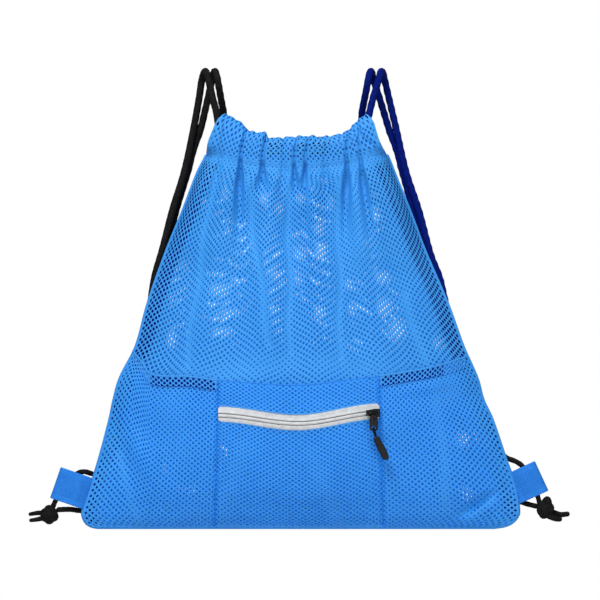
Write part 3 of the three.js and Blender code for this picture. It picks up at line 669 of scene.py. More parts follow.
# Net cloth: diamond cells, each an eight-sided ring round a hole
NET_ACROSS = 2.75
NET_UP = 2.85
HOLE_ACROSS = 1.12
HOLE_UP = 1.4
STRAND_RISE = 0.38
CROSSING_RISE = 0.25
RING = ((1, 0), (0.5, 0.5), (0, 1), (-0.5, 0.5), (-1, 0), (-0.5, -0.5), (0, -1), (0.5, -0.5))
CORNERS = len(RING)
STEEP = (0.52, 0.86)
FOLDS_WITHIN = (0.42, 0.45)
LEAST_HOLE = 0.3
FACING_STEP = 0.002
NORMAL_STEP = 0.25


class Sheet:
    """A sheet laid over a surface, with its threads at even steps along its rows and its middle column."""

    def __init__(self, surface, across, up):
        points = surface(*np.meshgrid(np.linspace(0, 1, across), np.linspace(0, 1, up)))
        points = np.array([spread(row, across) for row in points])
        climb = travelled(points[:, across // 2])
        at = np.interp(np.linspace(0, climb[-1], up), climb, np.arange(up))
        low = np.minimum(at.astype(int), up - 2)
        self.points = lerp(points[low], points[low + 1], (at - low)[:, None, None])

    def __call__(self, a, b):
        up, across = self.points.shape[:2]
        x = np.clip(a, 0, 1) * (across - 1)
        y = np.clip(b, 0, 1) * (up - 1)
        i = np.minimum(x.astype(int), across - 2)
        j = np.minimum(y.astype(int), up - 2)
        u, v = (x - i)[..., None], (y - j)[..., None]
        low, high = (lerp(self.points[row, i], self.points[row, i + 1], u) for row in (j, j + 1))
        return lerp(low, high, v)


def normals(sheet, a, b, step_a, step_b):
    """Directions square to a sheet."""
    across = sheet(a + step_a, b) - sheet(a - step_a, b)
    up = sheet(a, b + step_b) - sheet(a, b - step_b)
    return unit(np.cross(across, up))


def open_share(sheet):
    """How open the holes are: folds that turn the cloth from the front close them."""
    def at(a, b):
        facing = np.abs(normals(sheet, a, b, FACING_STEP, FACING_STEP)[..., 1])
        opened = np.maximum(smooth(facing, *STEEP), smooth(np.abs(a - 0.5), *FOLDS_WITHIN))
        x, _, z = np.moveaxis(sheet(a, b), -1, 0)
        return np.minimum(opened, 1 - smooth(fold_depth(x, z), *CLOSED_FOLD))
    return at


def net(shape, sheet, columns, rows, hole_size, flip=False, kept=None, opened=""):
    """Covers a sheet with net cells. Cells on its edges are filled, so that the edges are straight,
    apart from those left open: any of low, left and right.
    """
    a, b = grid(np.arange(columns + 1), np.arange(rows + 1))
    even = (a + b) % 2 == 0
    if kept is not None:
        even &= kept(a / columns, b / rows)
    size_at = hole_size(a / columns, b / rows)
    inner = even & (a > 0) & (a < columns) & (b > 0) & (b < rows) & (size_at > LEAST_HOLE)
    edge = even & ~inner
    for side, line in (("low", b == 0), ("left", a == 0), ("right", a == columns)):
        if side in opened:
            edge &= ~line
    two_a, two_b = grid(np.arange(2 * columns + 1), np.arange(2 * rows + 1))
    index = np.arange(two_a.size).reshape(two_a.shape)
    rise = np.zeros(two_a.shape)
    rise[(two_a % 2 == 1) & (two_b % 2 == 1)] = STRAND_RISE
    rise[(two_a % 2 == 0) & (two_b % 2 == 0) & ((two_a + two_b) // 2 % 2 == 1)] = CROSSING_RISE

    def point(at_a, at_b):
        return index[(2 * at_a).astype(int), (2 * at_b).astype(int)]

    ca, cb = a[inner], b[inner]
    ea, eb = a[edge], b[edge]
    ring = [point(ca + da, cb + db) for da, db in RING]
    hole = index.size + np.arange(len(ca) * CORNERS).reshape(-1, CORNERS)
    quads = []
    fans = []
    for k in range(CORNERS):
        after = (k + 1) % CORNERS
        quads.append(np.stack([ring[k], ring[after], hole[:, after], hole[:, k]], axis=1))
        corners = [(ea + da, eb + db) for da, db in (RING[k], RING[after])]
        inside = np.ones(len(ea), bool)
        for pa, pb in corners:
            inside &= (pa >= 0) & (pa <= columns) & (pb >= 0) & (pb <= rows)
        fans.append(np.stack([point(pa[inside], pb[inside]) for pa, pb in [(ea, eb), *corners]], axis=1))
    angle = np.arange(CORNERS) * 2 * np.pi / CORNERS
    hole_a = ca[:, None] + HOLE_ACROSS / NET_ACROSS * size_at[inner][:, None] * np.cos(angle)
    hole_b = cb[:, None] + HOLE_UP / NET_UP * size_at[inner][:, None] * np.sin(angle)
    a = np.concatenate([two_a.ravel() / 2, hole_a.ravel()]) / columns
    b = np.concatenate([two_b.ravel() / 2, hole_b.ravel()]) / rows
    rise = np.concatenate([rise.ravel(), np.zeros(hole.size)])[:, None]
    faces = [*quads, *fans]
    if flip:
        faces = [group[:, ::-1] for group in faces]
        rise = -rise
    shape.add(sheet(a, b) + normals(sheet, a, b, NORMAL_STEP / columns, NORMAL_STEP / rows) * rise, *faces)


# Folds: a line down from the stitching to its end, with its depth, half width and squareness
FOLD_FADES = (0.08, 1.0)
FOLD_RIM = 0.2
FOLD_RIM_SPREAD = 2.5
FOLD_AT_STITCHING = 0.5
FOLD_DEEPENS = 25
FOLD_WIDENS = 0.7
FOLD_ROUNDS = 0.7
FOLD_CREASE = 0.55
FRONT_FOLDS = table("x0 z0 x1 z1 depth width power", [
    (-59.5, -80, -63, -185, 10.5, 3.8, 4),
    (-37.5, -84, -38, -122, 11.5, 4.6, 4),
    (-6, -85, -3, -128, 10, 3.6, 3),
    (5.5, -85, 2, -124, 8.5, 3.4, 3),
    (4.5, -95, 6, -240, 3, 3.4, 2),
    (46.8, -82, 45, -195, 9, 3.8, 4),
    (60.5, -79, 77, -215, 8.5, 3.6, 3),
    (53, -81, 56, -165, 3, 11, 2),
    (-79, -76, -92, -135, 5, 4, 2),
    (-17, -86, -20, -135, 5, 4.5, 2),
    (25, -85, 26, -135, 5, 5, 2),
])
CLOSED_FOLD = (7, 11)
RIPPLES = table("size across up turns", [(1, 23, 61, 1), (0.6, 13, -37, 2), (0.4, 31, 19, -1)])


def groove(across, power):
    """Section of a fold: a narrow valley between two low rims."""
    valley = (1 + FOLD_RIM) * np.exp(-np.abs(across) ** power)
    return valley - FOLD_RIM * np.exp(-(across / FOLD_RIM_SPREAD) ** 2)


def beside(x, z, x0, z0, x1, z1):
    """Where places lie beside a line: as a share along it and a distance across it, with its length."""
    length = math.hypot(x1 - x0, z1 - z0)
    ux, uz = (x1 - x0) / length, (z1 - z0) / length
    return ((x - x0) * ux + (z - z0) * uz) / length, (x - x0) * uz - (z - z0) * ux, length


def away_from(x, z, *line):
    """Distance from a line between two points."""
    along, across, length = beside(x, z, *line)
    return np.hypot((along - np.clip(along, 0, 1)) * length, across)


def fold_depth(x, z, squeeze=1):
    total = 0
    for *line, depth, width, power in zip(*FRONT_FOLDS.values()):
        along, across, length = beside(x, z, *line)
        down = np.clip(along, 0, 1)
        start = smooth(along * length, 0, FOLD_DEEPENS)
        opening = lerp(FOLD_CREASE, 1, start) * (1 + FOLD_WIDENS * down)
        strength = lerp(FOLD_AT_STITCHING, 1, start) * (1 - smooth(along, *FOLD_FADES))
        rounded = lerp(power, 2, smooth(down, 0, FOLD_ROUNDS))
        total = total + depth * strength * groove(across / (width * opening) * squeeze, rounded)
    return total


def ripple(x, z, phase):
    """Small unevenness of hanging cloth."""
    rows = zip(*RIPPLES.values())
    return sum(size * np.sin(x / across + z / up + turns * phase) for size, across, up, turns in rows)


# Lines that draw the net together, so that its holes are small, or apart where the share is negative
PANEL_STRIPS = table("x0 z0 x1 z1 width share", [
    (-86, -90, -113, -285, 3, 0.55), (-54, -95, -30, -262, 3.4, 0.55), (-13, -91, -10, -270, 3, 0.55),
    (37, -100, 40, -275, 3.2, 0.55), (50, -88, 58, -180, 12, 0.25), (103, -212, 124, -280, 4, 0.5),
    (-118, -298, -12, -280, 11, 0.3), (18, -280, 118, -296, 11, 0.3), (15, -95, 18, -270, 13, -0.12),
    (-24, -95, -22, -250, 6, -0.1),
])
POCKET_STRIPS = table("x0 z0 x1 z1 width share", [
    (-183, -372, -161, -440, 3.5, 0.45), (-128, -322, -118, -372, 12, 0.2), (136, -303, 147, -425, 5, 0.4),
    (147, -297, 152, -312, 9, 0.4), (165, -440, 195, -418, 3.5, 0.45), (-176, -330, -146, -392, 6, -0.1),
    (-60, -366, -75, -436, 9, 0.25), (10, -372, 40, -440, 8, 0.25), (172, -378, 176, -425, 14, -0.1),
    (150, -441, 205, -428, 7, -0.12),
])
STRIP_WANDER = 1.6
STRIP_SINK = 2.6
STRIP_WAVE = 14


def drawn_together(strips, x, z):
    """Size of the holes beside the strips, as a share."""
    x = x + STRIP_WANDER * np.sin(z / STRIP_WAVE)
    size = 1
    for *line, width, share in zip(*strips.values()):
        size = size * (1 - share * np.exp(-(away_from(x, z, *line) / width) ** 2))
    return size


# Panels: the front and back walls
PANEL_COLUMNS = 116
PANEL_ROWS = 134
WAVE_PHASE = {"front": 0.13, "back": 2.3}
FOLD_SHARE = {"front": 1, "back": 0.8}
SOFT_WAVES = 5.2
SOFT_WAVE_DEPTH = 2.6
WAVES_START = (-305, -235)
WAVES_END = (-130, -92)
WAVES_LEVEL = -180
WAVES_LEAN = 250
PANEL_RIPPLE = 0.5
GATHER_RISE = 6.2
GATHER_FROM = -150
GATHER_FULL = -84
FOLD_FLOOR = 2.5
HEM_ROWS_CLOSED = 1.5
EDGE_HOLES = 1.18
EDGE_ZONE = (12, 18)
# How far below the pocket's top edge the front net's painted shade starts
BEHIND_POCKET = 1.5
TOP_HOLES = 0.6
TOP_ROWS = (3, 5.5)
ROW_BEND = 4
ROW_WAVES = 5.6
ROW_PHASE = 0.9
ROW_BEND_FROM = 0.12
EDGE_CELLS = 5
FIRST_DISTANCE = 20
BACK_ROUNDS = 5
SHARE_ROUNDS = 12
PANEL_FINE = (1000, 320)


def panel_out(side, share, height, x, z):
    """How far out the panel is from the middle plane."""
    hang = smooth(height, SAG_START, STITCH_Z)
    swell = np.maximum(0, 1 - np.abs(share) ** (2 + MOUTH_SQUARENESS * hang)) ** SWELL_POWER
    tab_z = np.where(share < 0, *TAB_SEAM_Z)
    parting = TAB_PARTING * (1 - smooth(np.abs(z - tab_z), PARTING_FULL, PARTING_ENDS))
    seam = SEAM_Y + parting * np.abs(share) ** PARTING_SPREAD
    folds = fold_depth(x, z) * FOLD_SHARE[side]
    if side == "front":
        folds = folds + STRIP_SINK * (1 - drawn_together(PANEL_STRIPS, x, z))
    phase = WAVE_PHASE[side]
    band = smooth(z, *WAVES_START) * (1 - smooth(z, *WAVES_END))
    turn = np.pi * SOFT_WAVES * share + phase + (z - WAVES_LEVEL) / WAVES_LEAN
    uneven = PANEL_RIPPLE * ripple(x, z, phase) - SOFT_WAVE_DEPTH * band * np.cos(turn)
    gather = GATHER_RISE * smooth(height, GATHER_FROM, GATHER_FULL)
    full = depth_of[side](height) - CLOTH / 2 + gather
    return seam + np.maximum(np.minimum(FOLD_FLOOR, full), full - folds + uneven) * swell


def panel_surface(side, share, height):
    x = lerp(left_seam(height), right_seam(height), (share + 1) / 2)
    hang = smooth(height, SAG_START, STITCH_Z)
    z = height - STITCH_SAG * hang * (1 - share ** 2)
    out = panel_out(side, share, height, x, z)
    return np.stack([x, -out if side == "front" else out, z], axis=-1)


# Patches and ladders of bands where the two nets' holes line up, so that light shows through
PATCHES = table("x z wide tall strength", [
    (-82, -208, 13, 8, 1), (-71, -231, 17, 6, 0.9), (-78, -250, 14, 6, 0.9), (-37, -118, 7, 8, 0.8),
    (-22, -126, 8, 8, 0.7), (-2, -173, 8, 9, 0.9), (-3, -199, 8, 8, 0.8), (20, -170, 8, 10, 0.95),
    (19, -230, 8, 8, 0.8), (-26, -194, 8, 8, 0.8), (-29, -226, 7, 6, 0.7), (-130, -258, 7, 13, 0.85),
    (-118, -183, 7, 10, 0.6), (-129, -216, 6, 7, 0.7), (-76, -112, 7, 12, 0.7), (-98, -119, 6, 10, 0.6),
    (18, -148, 8, 9, 0.8), (75, -135, 5, 9, 0.9), (81, -196, 9, 9, 0.95), (48, -203, 6, 9, 0.75),
    (50, -228, 7, 10, 0.75), (83, -225, 11, 11, 1), (96, -247, 11, 12, 1), (137, -262, 9, 12, 0.65),
    (-108, -236, 5, 10, 0.6), (0, -118, 7, 9, 0.6), (30, -120, 6, 10, 0.6), (66, -160, 6, 9, 0.6),
    (165, -357, 14, 10, 0.9), (146, -392, 8, 8, 0.8), (157, -413, 18, 8, 0.9), (160, -302, 6, 4, 0.8),
    (-133, -388, 8, 9, 0.8), (-115, -406, 13, 7, 0.8), (-77, -368, 7, 13, 0.8), (-150, -345, 6, 20, 0.6),
])
LADDERS = table("x z wide tall spacing bend tilt strength", [
    (-61, -172, 11, 44, 14, 8, 0, 1.1), (-80, -222, 17, 40, 15, 3, 0.15, 1),
    (-78, -130, 10, 40, 11, 0, 0.5, 0.8), (-27, -175, 10, 75, 11, 0, 0.8, 0.95),
    (16, -175, 15, 80, 13, 3, -0.5, 0.95), (-122, -220, 10, 55, 12, 0, 0.6, 0.8),
    (58, -225, 16, 45, 12, 0, -0.7, 0.85), (92, -235, 13, 30, 12, 0, -0.9, 0.9),
    (-4, -165, 7, 60, 12, 0, 0.4, 0.8), (74, -150, 8, 45, 12, 0, 0.3, 0.7),
])
UNEVEN_WAVES = table("length turn phase", [(15, 0.2, 0.3), (19, 1.35, 1.7), (24, 2.25, 0.9), (37, 0.8, 2.6)])
UNEVEN_LEAST = (0.8, 0.5)
UNEVEN_RANGE = (-1, 1.5)
LADDER_SPREAD = 0.5
LADDER_FULLNESS = 0.7
GLINT_REACH = 0.92
GLINT_HOLES = 0.74
GLINT_HOLES_FROM = (0.3, 0.8)
LADDERS_END = (-288, -268)


def glint(x, z):
    """How far the back net's holes are drawn behind the front ones, up to 1."""
    waves = 0
    for length, turn, phase in zip(*UNEVEN_WAVES.values()):
        waves = waves + np.sin(2 * np.pi * (x * math.cos(turn) + z * math.sin(turn)) / length + phase)
    patchy, broken = (lerp(least, 1, smooth(waves, *UNEVEN_RANGE)) for least in UNEVEN_LEAST)
    total = 0
    for x0, z0, wide, tall, strength in zip(*PATCHES.values()):
        zone = np.exp(-((x - x0) / wide) ** 2 - ((z - z0) / tall) ** 2)
        total = np.maximum(total, strength * zone * patchy)
    for x0, z0, wide, tall, spacing, bend, tilt, strength in zip(*LADDERS.values()):
        away = (x - x0) / wide
        bands = np.cos(2 * np.pi * (z - z0 - bend * away ** 2 - tilt * (x - x0)) / spacing)
        zone = np.exp(-away ** 2 - ((z - z0) / tall) ** 2)
        ladder = strength * zone ** LADDER_SPREAD * np.maximum(bands, 0) ** LADDER_FULLNESS
        total = np.maximum(total, ladder * broken * smooth(z, *LADDERS_END))
    return np.minimum(total, 1)


def behind(points, distance):
    """The same places in the camera's view, at another distance from the middle plane."""
    ratio = (CAMERA_DISTANCE + distance) / (CAMERA_DISTANCE + points[..., 1])
    x = points[..., 0] * ratio
    z = VIEW_MIDDLE_Z + (points[..., 2] - VIEW_MIDDLE_Z) * ratio
    return x, z


def seam_share(x, height):
    """Where a place lies between the side seams, from -1 to 1."""
    left, right = left_seam(height), right_seam(height)
    return np.clip((2 * x - left - right) / (right - left), -1, 1)


def share_and_height(x, z):
    """Where a place on the panels lies between the seams and below the stitching."""
    height = z
    for _ in range(SHARE_ROUNDS):
        share = seam_share(x, height)
        sag = STITCH_SAG * smooth(height, SAG_START, STITCH_Z) * (1 - share ** 2)
        height = np.minimum(z + sag, PANEL_TOP)
    return share, height


def panel_sheet():
    def surface(s, h):
        wave = ROW_BEND * np.sin(2 * np.pi * ROW_WAVES * s + ROW_PHASE)
        height = lerp(BOTTOM_Z, PANEL_TOP, h) + wave * smooth(h * (1 - h), 0, ROW_BEND_FROM)
        return panel_surface("front", 2 * s - 1, height)
    return Sheet(surface, *PANEL_FINE)


def one_cell(a, columns):
    """One cell sideways as a share of the width, and less at the edges."""
    return smooth(np.minimum(a, 1 - a) * columns, 0, EDGE_CELLS) / columns


def make_panels():
    front = panel_sheet()

    def back(a, b):
        x, _, z = np.moveaxis(front(a, b), -1, 0)
        points = front(a + (1 - GLINT_REACH * glint(x, z)) * one_cell(a, PANEL_COLUMNS), b)
        distance = FIRST_DISTANCE
        for _ in range(BACK_ROUNDS):
            x, z = behind(points, distance)
            share, height = share_and_height(x, z)
            distance = panel_out("back", share, height, x, z)
        return np.stack([x, distance, z], axis=-1)

    opened = open_share(front)

    def back_holes(a, b):
        return np.where(b * PANEL_ROWS < HEM_ROWS_CLOSED, 0, opened(a, b))

    def front_holes(a, b):
        x, _, z = np.moveaxis(front(a, b), -1, 0)
        lit = lerp(1, GLINT_HOLES, smooth(glint(x, z), *GLINT_HOLES_FROM))
        from_seam = np.minimum(x - left_seam(z), right_seam(z) - x)
        wide = lerp(EDGE_HOLES, 1, smooth(from_seam, *EDGE_ZONE))
        top = lerp(TOP_HOLES, 1, smooth((1 - b) * PANEL_ROWS, *TOP_ROWS))
        return back_holes(a, b) * drawn_together(PANEL_STRIPS, x, z) * lit * wide * top

    made = []
    for side, sheet, holes in (("front", front, front_holes), ("back", back, back_holes)):
        shape = Shape()
        net(shape, sheet, PANEL_COLUMNS, PANEL_ROWS, holes, flip=side == "back")
        # The front net's faces behind the pocket get the deeper blue of painted shade
        if side == "front":
            shape.paint(lambda x, y, z: z < pocket_top(x) - BEHIND_POCKET)
        # The back net's deeper blue is painted shade as well
        finishes = [mesh_cloth, painted_shade_cloth] if side == "front" else [painted_shade_back_cloth]
        made.append(piece(f"{side}_net", shape, finishes))
        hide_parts(f"{side}_panel")
    return made


front_net, back_net = make_panels()


# Casings: the folded top of each panel, gathered on the cords, from the stitching to the inside
MOUTH_LEFT = (-75, -32.4)
MOUTH_RIGHT = (65.5, -32.4)
TOP_LINE = table("u x z", [
    (0, *MOUTH_LEFT), (0.05, -65, -36), (0.1, -56, -43), (0.15, -49, -49.5), (0.2, -41, -50.6),
    (0.25, -34, -51), (0.28, -30, -56), (0.34, -19, -56), (0.42, -7, -55), (0.53, 11, -54.2),
    (0.6, 23, -54.8), (0.7, 38, -52.7), (0.78, 47, -48.8), (0.87, 55, -40.6), (0.93, 59.5, -36),
    (1, *MOUTH_RIGHT),
])
LEFT_END = table("t x z", [
    (0, STITCH_LEFT, STITCH_Z), (0.3, -92, -61), (0.55, -88, -50.5), (0.82, -82.5, -39), (1, *MOUTH_LEFT),
])
RIGHT_END = table("t x z", [
    (0, STITCH_RIGHT, STITCH_Z), (0.3, 79.8, -60.5), (0.55, 76, -49), (0.82, 73, -40), (1, *MOUTH_RIGHT),
])
RIDGE = table("t out", [(0, 20.4), (0.25, 21.4), (0.5, 22), (0.75, 21.5), (0.9, 19.4), (1, 15)])
VALLEY = table("t out", [
    (0, 13.4), (0.12, 15.6), (0.22, 17.7), (0.5, 18.2), (0.75, 17.8), (0.9, 16.6), (1, 14.6),
])
LINED = table("u0 u1 v0 v1", [
    (0.02, 0.98, 0.02, 0.2), (0.02, 0.335, 0.2, 0.46), (0.425, 0.505, 0.2, 0.46), (0.71, 0.98, 0.2, 0.46),
])
LINING_AT_FOOT = 0.6
LINING_BEHIND = 2.2
FOOT_BAND = (0.03, 0.15)
FOOT_HOLES = 0.5
FOLD_FOLLOWS = 0.65
CREASE = ((59.5, -49.5), (61.3, -55), (65.2, -59.8), (73, -63.2))
CREASE_DEPTH = 1.8
CREASE_WIDTH = 1.5
CASING_NARROWS = 0.6
BEHIND_CORD = 10.2
BEHIND_CORD_FROM = 0.35
INSIDE_TOP = 14.8
INSIDE_TOP_FROM = 0.8
FOOT_INSET = 1.5
FULL_FOLD = 6.5
FOLD_RANGE = (-0.3, 1)
ENDS_SQUARE_TO = 0.3
FOLDED_IN_FROM = 0.55
TOP_CLOSED = 0.03
FOLDS_CLOSE_TO = 0.4
BACK_OPEN = 0.4
CASING_COLUMNS = 76
CASING_ROWS = 24
CASING_FINE = (600, 240)
LINING_COLUMNS = 80
LINING_ROWS = 12
SCALLOP = ((0.7, 13.3, 0.4), (0.5, 24.1, 1.3))


def stitch_line(share):
    return lerp(STITCH_LEFT, STITCH_RIGHT, (share + 1) / 2), STITCH_Z - STITCH_SAG * (1 - share ** 2)


def crease(x, z):
    """Depth of the fold at the right end of the casing."""
    nearest = np.min([away_from(x, z, *start, *end) for start, end in zip(CREASE, CREASE[1:])], axis=0)
    return CREASE_DEPTH * np.exp(-(nearest / CREASE_WIDTH) ** 2)


def casing_surface(u, v):
    top = [curve(TOP_LINE, "u", axis) for axis in ("x", "z")]
    ends = [[curve(rows, "t", axis) for axis in ("x", "z")] for rows in (LEFT_END, RIGHT_END)]
    ridge, valley = curve(RIDGE, "t", "out"), curve(VALLEY, "t", "out")
    front = v <= 0.5
    t = np.where(front, 2 * v, 2 - 2 * v)
    share = 2 * u - 1
    low = stitch_line(share)
    place = []
    for k in range(2):
        left, right = ends[0][k], ends[1][k]
        corners = lerp(lerp(left(0), right(0), u), lerp(left(1), right(1), u), t)
        place.append(lerp(low[k], top[k](u), t) + lerp(left(t), right(t), u) - corners)
    scallop = sum(size * np.sin(2 * np.pi * count * u + shift) for size, count, shift in SCALLOP)
    z = place[1] + scallop * t ** 2
    fold_x = lerp(low[0], place[0], FOLD_FOLLOWS)
    deep = fold_depth(fold_x, low[1], squeeze=1 + CASING_NARROWS * t) / FULL_FOLD
    deep = np.clip(deep, *FOLD_RANGE)
    square = np.maximum(0, 1 - np.abs(share) ** (2 + MOUTH_SQUARENESS)) ** SWELL_POWER
    swell = lerp(square, 1, smooth(t, 0, ENDS_SQUARE_TO))
    out = SEAM_Y + (lerp(ridge(t), valley(t), deep) - SEAM_Y) * swell - crease(place[0], z)
    foot = SEAM_Y + (lerp(ridge(0), valley(0), deep) - SEAM_Y) * square - FOOT_INSET
    inside = lerp(foot, BEHIND_CORD, smooth(t, 0, BEHIND_CORD_FROM))
    inside = lerp(inside, INSIDE_TOP, smooth(t, INSIDE_TOP_FROM, 1))
    return np.stack([place[0], -np.where(front, out, inside), z], axis=-1)


def make_casings():
    front = Sheet(casing_surface, *CASING_FINE)

    def back(a, b):
        points = front(a + one_cell(a, CASING_COLUMNS), b)
        x, z = behind(points, -points[..., 1])
        return np.stack([x, -points[..., 1], z], axis=-1)

    def kept(a, b):
        x = front(a, b)[..., 0]
        return (b < FOLDED_IN_FROM) | ((x > CASING_CUT_LEFT) & (x < CASING_CUT_RIGHT))

    opened = open_share(front)

    def hole_size(a, b):
        low = opened(a, b) * lerp(FOOT_HOLES, 1, smooth(b, *FOOT_BAND))
        return np.where(np.abs(b - 0.5) < TOP_CLOSED, 0, np.where(b < FOLDS_CLOSE_TO, low, 1))

    def back_hole_size(a, b):
        return hole_size(a, b) * (np.abs(a - 0.5) < BACK_OPEN)

    made = []
    for side, sheet, holes in (("front", front, hole_size), ("back", back, back_hole_size)):
        shape = Shape()
        net(shape, sheet, CASING_COLUMNS, CASING_ROWS, holes, flip=side == "back", kept=kept, opened="low")
        if side == "front":
            for u0, u1, v0, v1 in zip(*LINED.values()):
                u, v = grid(np.linspace(u0, u1, LINING_COLUMNS), np.linspace(v0, v1, LINING_ROWS))
                lining = front(u, v)
                lining[..., 1] += lerp(LINING_AT_FOOT, LINING_BEHIND, smooth(v, *FOOT_BAND))
                strip(shape, lining)
        made.append(piece(f"{side}_casing_net", shape, [mesh_cloth]))
        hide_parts(f"{side}_casing")
    return made


front_casing, back_casing = make_casings()


# Pocket cloth in four fields: two side pockets, and the middle below and above the zip
POCKET_FOLDS = table("x0 z0 x1 z1 depth width", [
    (-184, -315, -142, -415, -3.6, 9), (-192, -330, -166, -410, 1.8, 7), (-132, -320, -115, -420, 1.8, 13),
    (135, -340, 205, -445, -3.4, 16), (138, -449, 210, -402, 8, 5), (84, -311, 156, -301, -2.4, 7),
    (108, -320, 128, -415, 1.8, 12), (-64, -345, -26, -430, -1.5, 12), (46, -345, 16, -435, -1.4, 14),
])
POCKET_RIPPLE = 0.45
POCKET_PHASE = 1.1
POCKET_LIFT = 1.5
POCKET_BULGE = 1.6
SIDE_HOLES = 0.95
MIDDLE_HOLES = 1.06
ROW_SAG = 0.1
SAG_SHAPE = 16
FIELD_START_Z = -380.0
FIELD_ROUNDS = 10
FIELD_FINE = (300, 200)


def pocket_fullness(x, z):
    lines = [left_seam(z), pocket_left(z), pocket_right(z), right_seam(z)]
    full = 0
    for k in range(3):
        share = np.clip((x - lines[k]) / (lines[k + 1] - lines[k]), 0, 1)
        full = full + 4 * share * (1 - share)
    return full * smooth(z, BOTTOM_Z, POCKET_FULL_Z)


def soft_folds(x, z):
    """Depth of the pocket's folds, each fading towards both its ends."""
    total = 0
    for *line, depth, width in zip(*POCKET_FOLDS.values()):
        along, across, _ = beside(x, z, *line)
        fading = np.sin(np.pi * np.clip(along, 0, 1)) ** 2
        total = total + depth * fading * np.exp(-(across / width) ** 2)
    return total


def pocket_surface(x, z):
    front = panel_surface("front", seam_share(x, z), z)
    bulge = POCKET_BULGE + POCKET_RIPPLE * ripple(x, z, POCKET_PHASE) - soft_folds(x, z)
    out = POCKET_LIFT + bulge * pocket_fullness(x, z)
    return np.stack([x, front[..., 1] - out, z], axis=-1)


def pocket_field(left, right, low, high, sag):
    """Surface between two upright lines, given at a height, and two level ones, given at a place.
    The rows between them sag by a share of its height.
    """
    def surface(s, h):
        h = h - sag * SAG_SHAPE * h * (1 - h) * s * (1 - s)
        z = np.full_like(s, FIELD_START_Z)
        for _ in range(FIELD_ROUNDS):
            x = lerp(left(z), right(z), s)
            z = lerp(low(x), high(x), h)
        return pocket_surface(x, z)
    return surface


def bottom(x):
    return np.full_like(x, BOTTOM_Z)


def zip_low(x):
    return zip_line(x) - ZIP_HALF_WINDOW


def zip_high(x):
    return zip_line(x) + ZIP_HALF_WINDOW


def pocket_holes(sheet, size, closed):
    def at(a, b):
        x, _, z = np.moveaxis(sheet(a, b), -1, 0)
        return np.where(b < closed, 0, size * drawn_together(POCKET_STRIPS, x, z))
    return at


def make_pocket():
    fields = [
        (left_seam, pocket_left, bottom, pocket_top, 40, 62, 0, SIDE_HOLES, "right"),
        (pocket_left, pocket_right, bottom, zip_low, 52, 50, ROW_SAG, MIDDLE_HOLES, "left right"),
        (pocket_left, pocket_right, zip_high, pocket_top, 52, 14, 0, MIDDLE_HOLES, "left right"),
        (pocket_right, right_seam, bottom, pocket_top, 40, 62, 0, SIDE_HOLES, "left"),
    ]
    shape = Shape()
    for left, right, low, high, columns, rows, sag, open_size, opened in fields:
        closed = HEM_ROWS_CLOSED / rows if low is bottom else 0
        sheet = Sheet(pocket_field(left, right, low, high, sag), *FIELD_FINE)
        net(shape, sheet, columns, rows, pocket_holes(sheet, open_size, closed), opened=opened)
    made = piece("pocket_net", shape, [pocket_cloth])
    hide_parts("pocket_panel")
    return made


pocket_net = make_pocket()


# Side and bottom seam
SEAM_RADIUS = 1.7
SEAM_POINTS = 300
SEAM_STEP = 2
SEAM_SIDES = 10


def make_seam():
    z = np.linspace(STITCH_Z, BOTTOM_Z, SEAM_POINTS)
    left = np.stack([left_seam(z), 0 * z, z], axis=1)
    right = np.stack([right_seam(z), 0 * z, z], axis=1)[::-1]
    path = resample(np.concatenate([left, right]), SEAM_STEP)
    shape = Shape()
    tube(shape, path, SEAM_RADIUS, SEAM_SIDES)
    return piece("side_seam", shape, [mesh_cloth])


side_seam = make_seam()


# Dark binding along the inside of the side seams
BINDING_FROM = -78
BINDING_TO = -443
BINDING_INSET = 1
BINDING_WIDTH = 14.5
BINDING_BEHIND = 1.6
BINDING_ROWS = 140
BINDING_COLUMNS = 9


def make_binding():
    shape = Shape()
    rows = np.linspace(BINDING_FROM, BINDING_TO, BINDING_ROWS)
    height, inset = grid(rows, np.linspace(0, 1, BINDING_COLUMNS))
    for end in (-1, 1):
        width = (right_seam(height) - left_seam(height)) / 2
        share = end * (1 - (BINDING_INSET + BINDING_WIDTH * inset) / width)
        points = panel_surface("front", share, height)
        points[..., 1] = np.minimum(points[..., 1] + BINDING_BEHIND, 0)
        strip(shape, points)
    return piece("seam_binding", shape, [binding_and_painted_shade])


seam_binding = make_binding()


# Hems of the side pockets: a doubled band of net with a rolled edge, over a dark sheet that is painted shade
# behind its holes
HEM_HEIGHT = 12
HEM_LIFT = 0.9
HEM_ROLL = 1.0
ROLL_DROP = 0.4
ROLL_SINK = 0.3
# Depths below the hem's top of the dark sheet of painted shade, and how far in it sinks
SHADE_SHEET_DROP = (1.5, HEM_HEIGHT - 1)
SHADE_SHEET_SINK = 0.5
HEM_COLUMNS = 34
HEM_ROWS = 5
HEM_HOLES = 1.22
HEM_FINE = (200, 40)
ROLL_POINTS = 80
ROLL_STEP = 2
ROLL_SIDES = 8
SHADE_SHEET_COLUMNS = 40
SHADE_SHEET_ROWS = 6
HEMS = {
    "left": dict(start=-167, stop=-83, dark_start=-149, dark_stop=-84),
    "right": dict(start=80, stop=165, dark_start=81, dark_stop=143),
}


def hem_surface(x, drop, lift):
    points = pocket_surface(x, pocket_top(x) - drop)
    points[..., 1] -= lift
    return points


def hem_holes(a, b):
    return np.full(np.shape(a), HEM_HOLES)


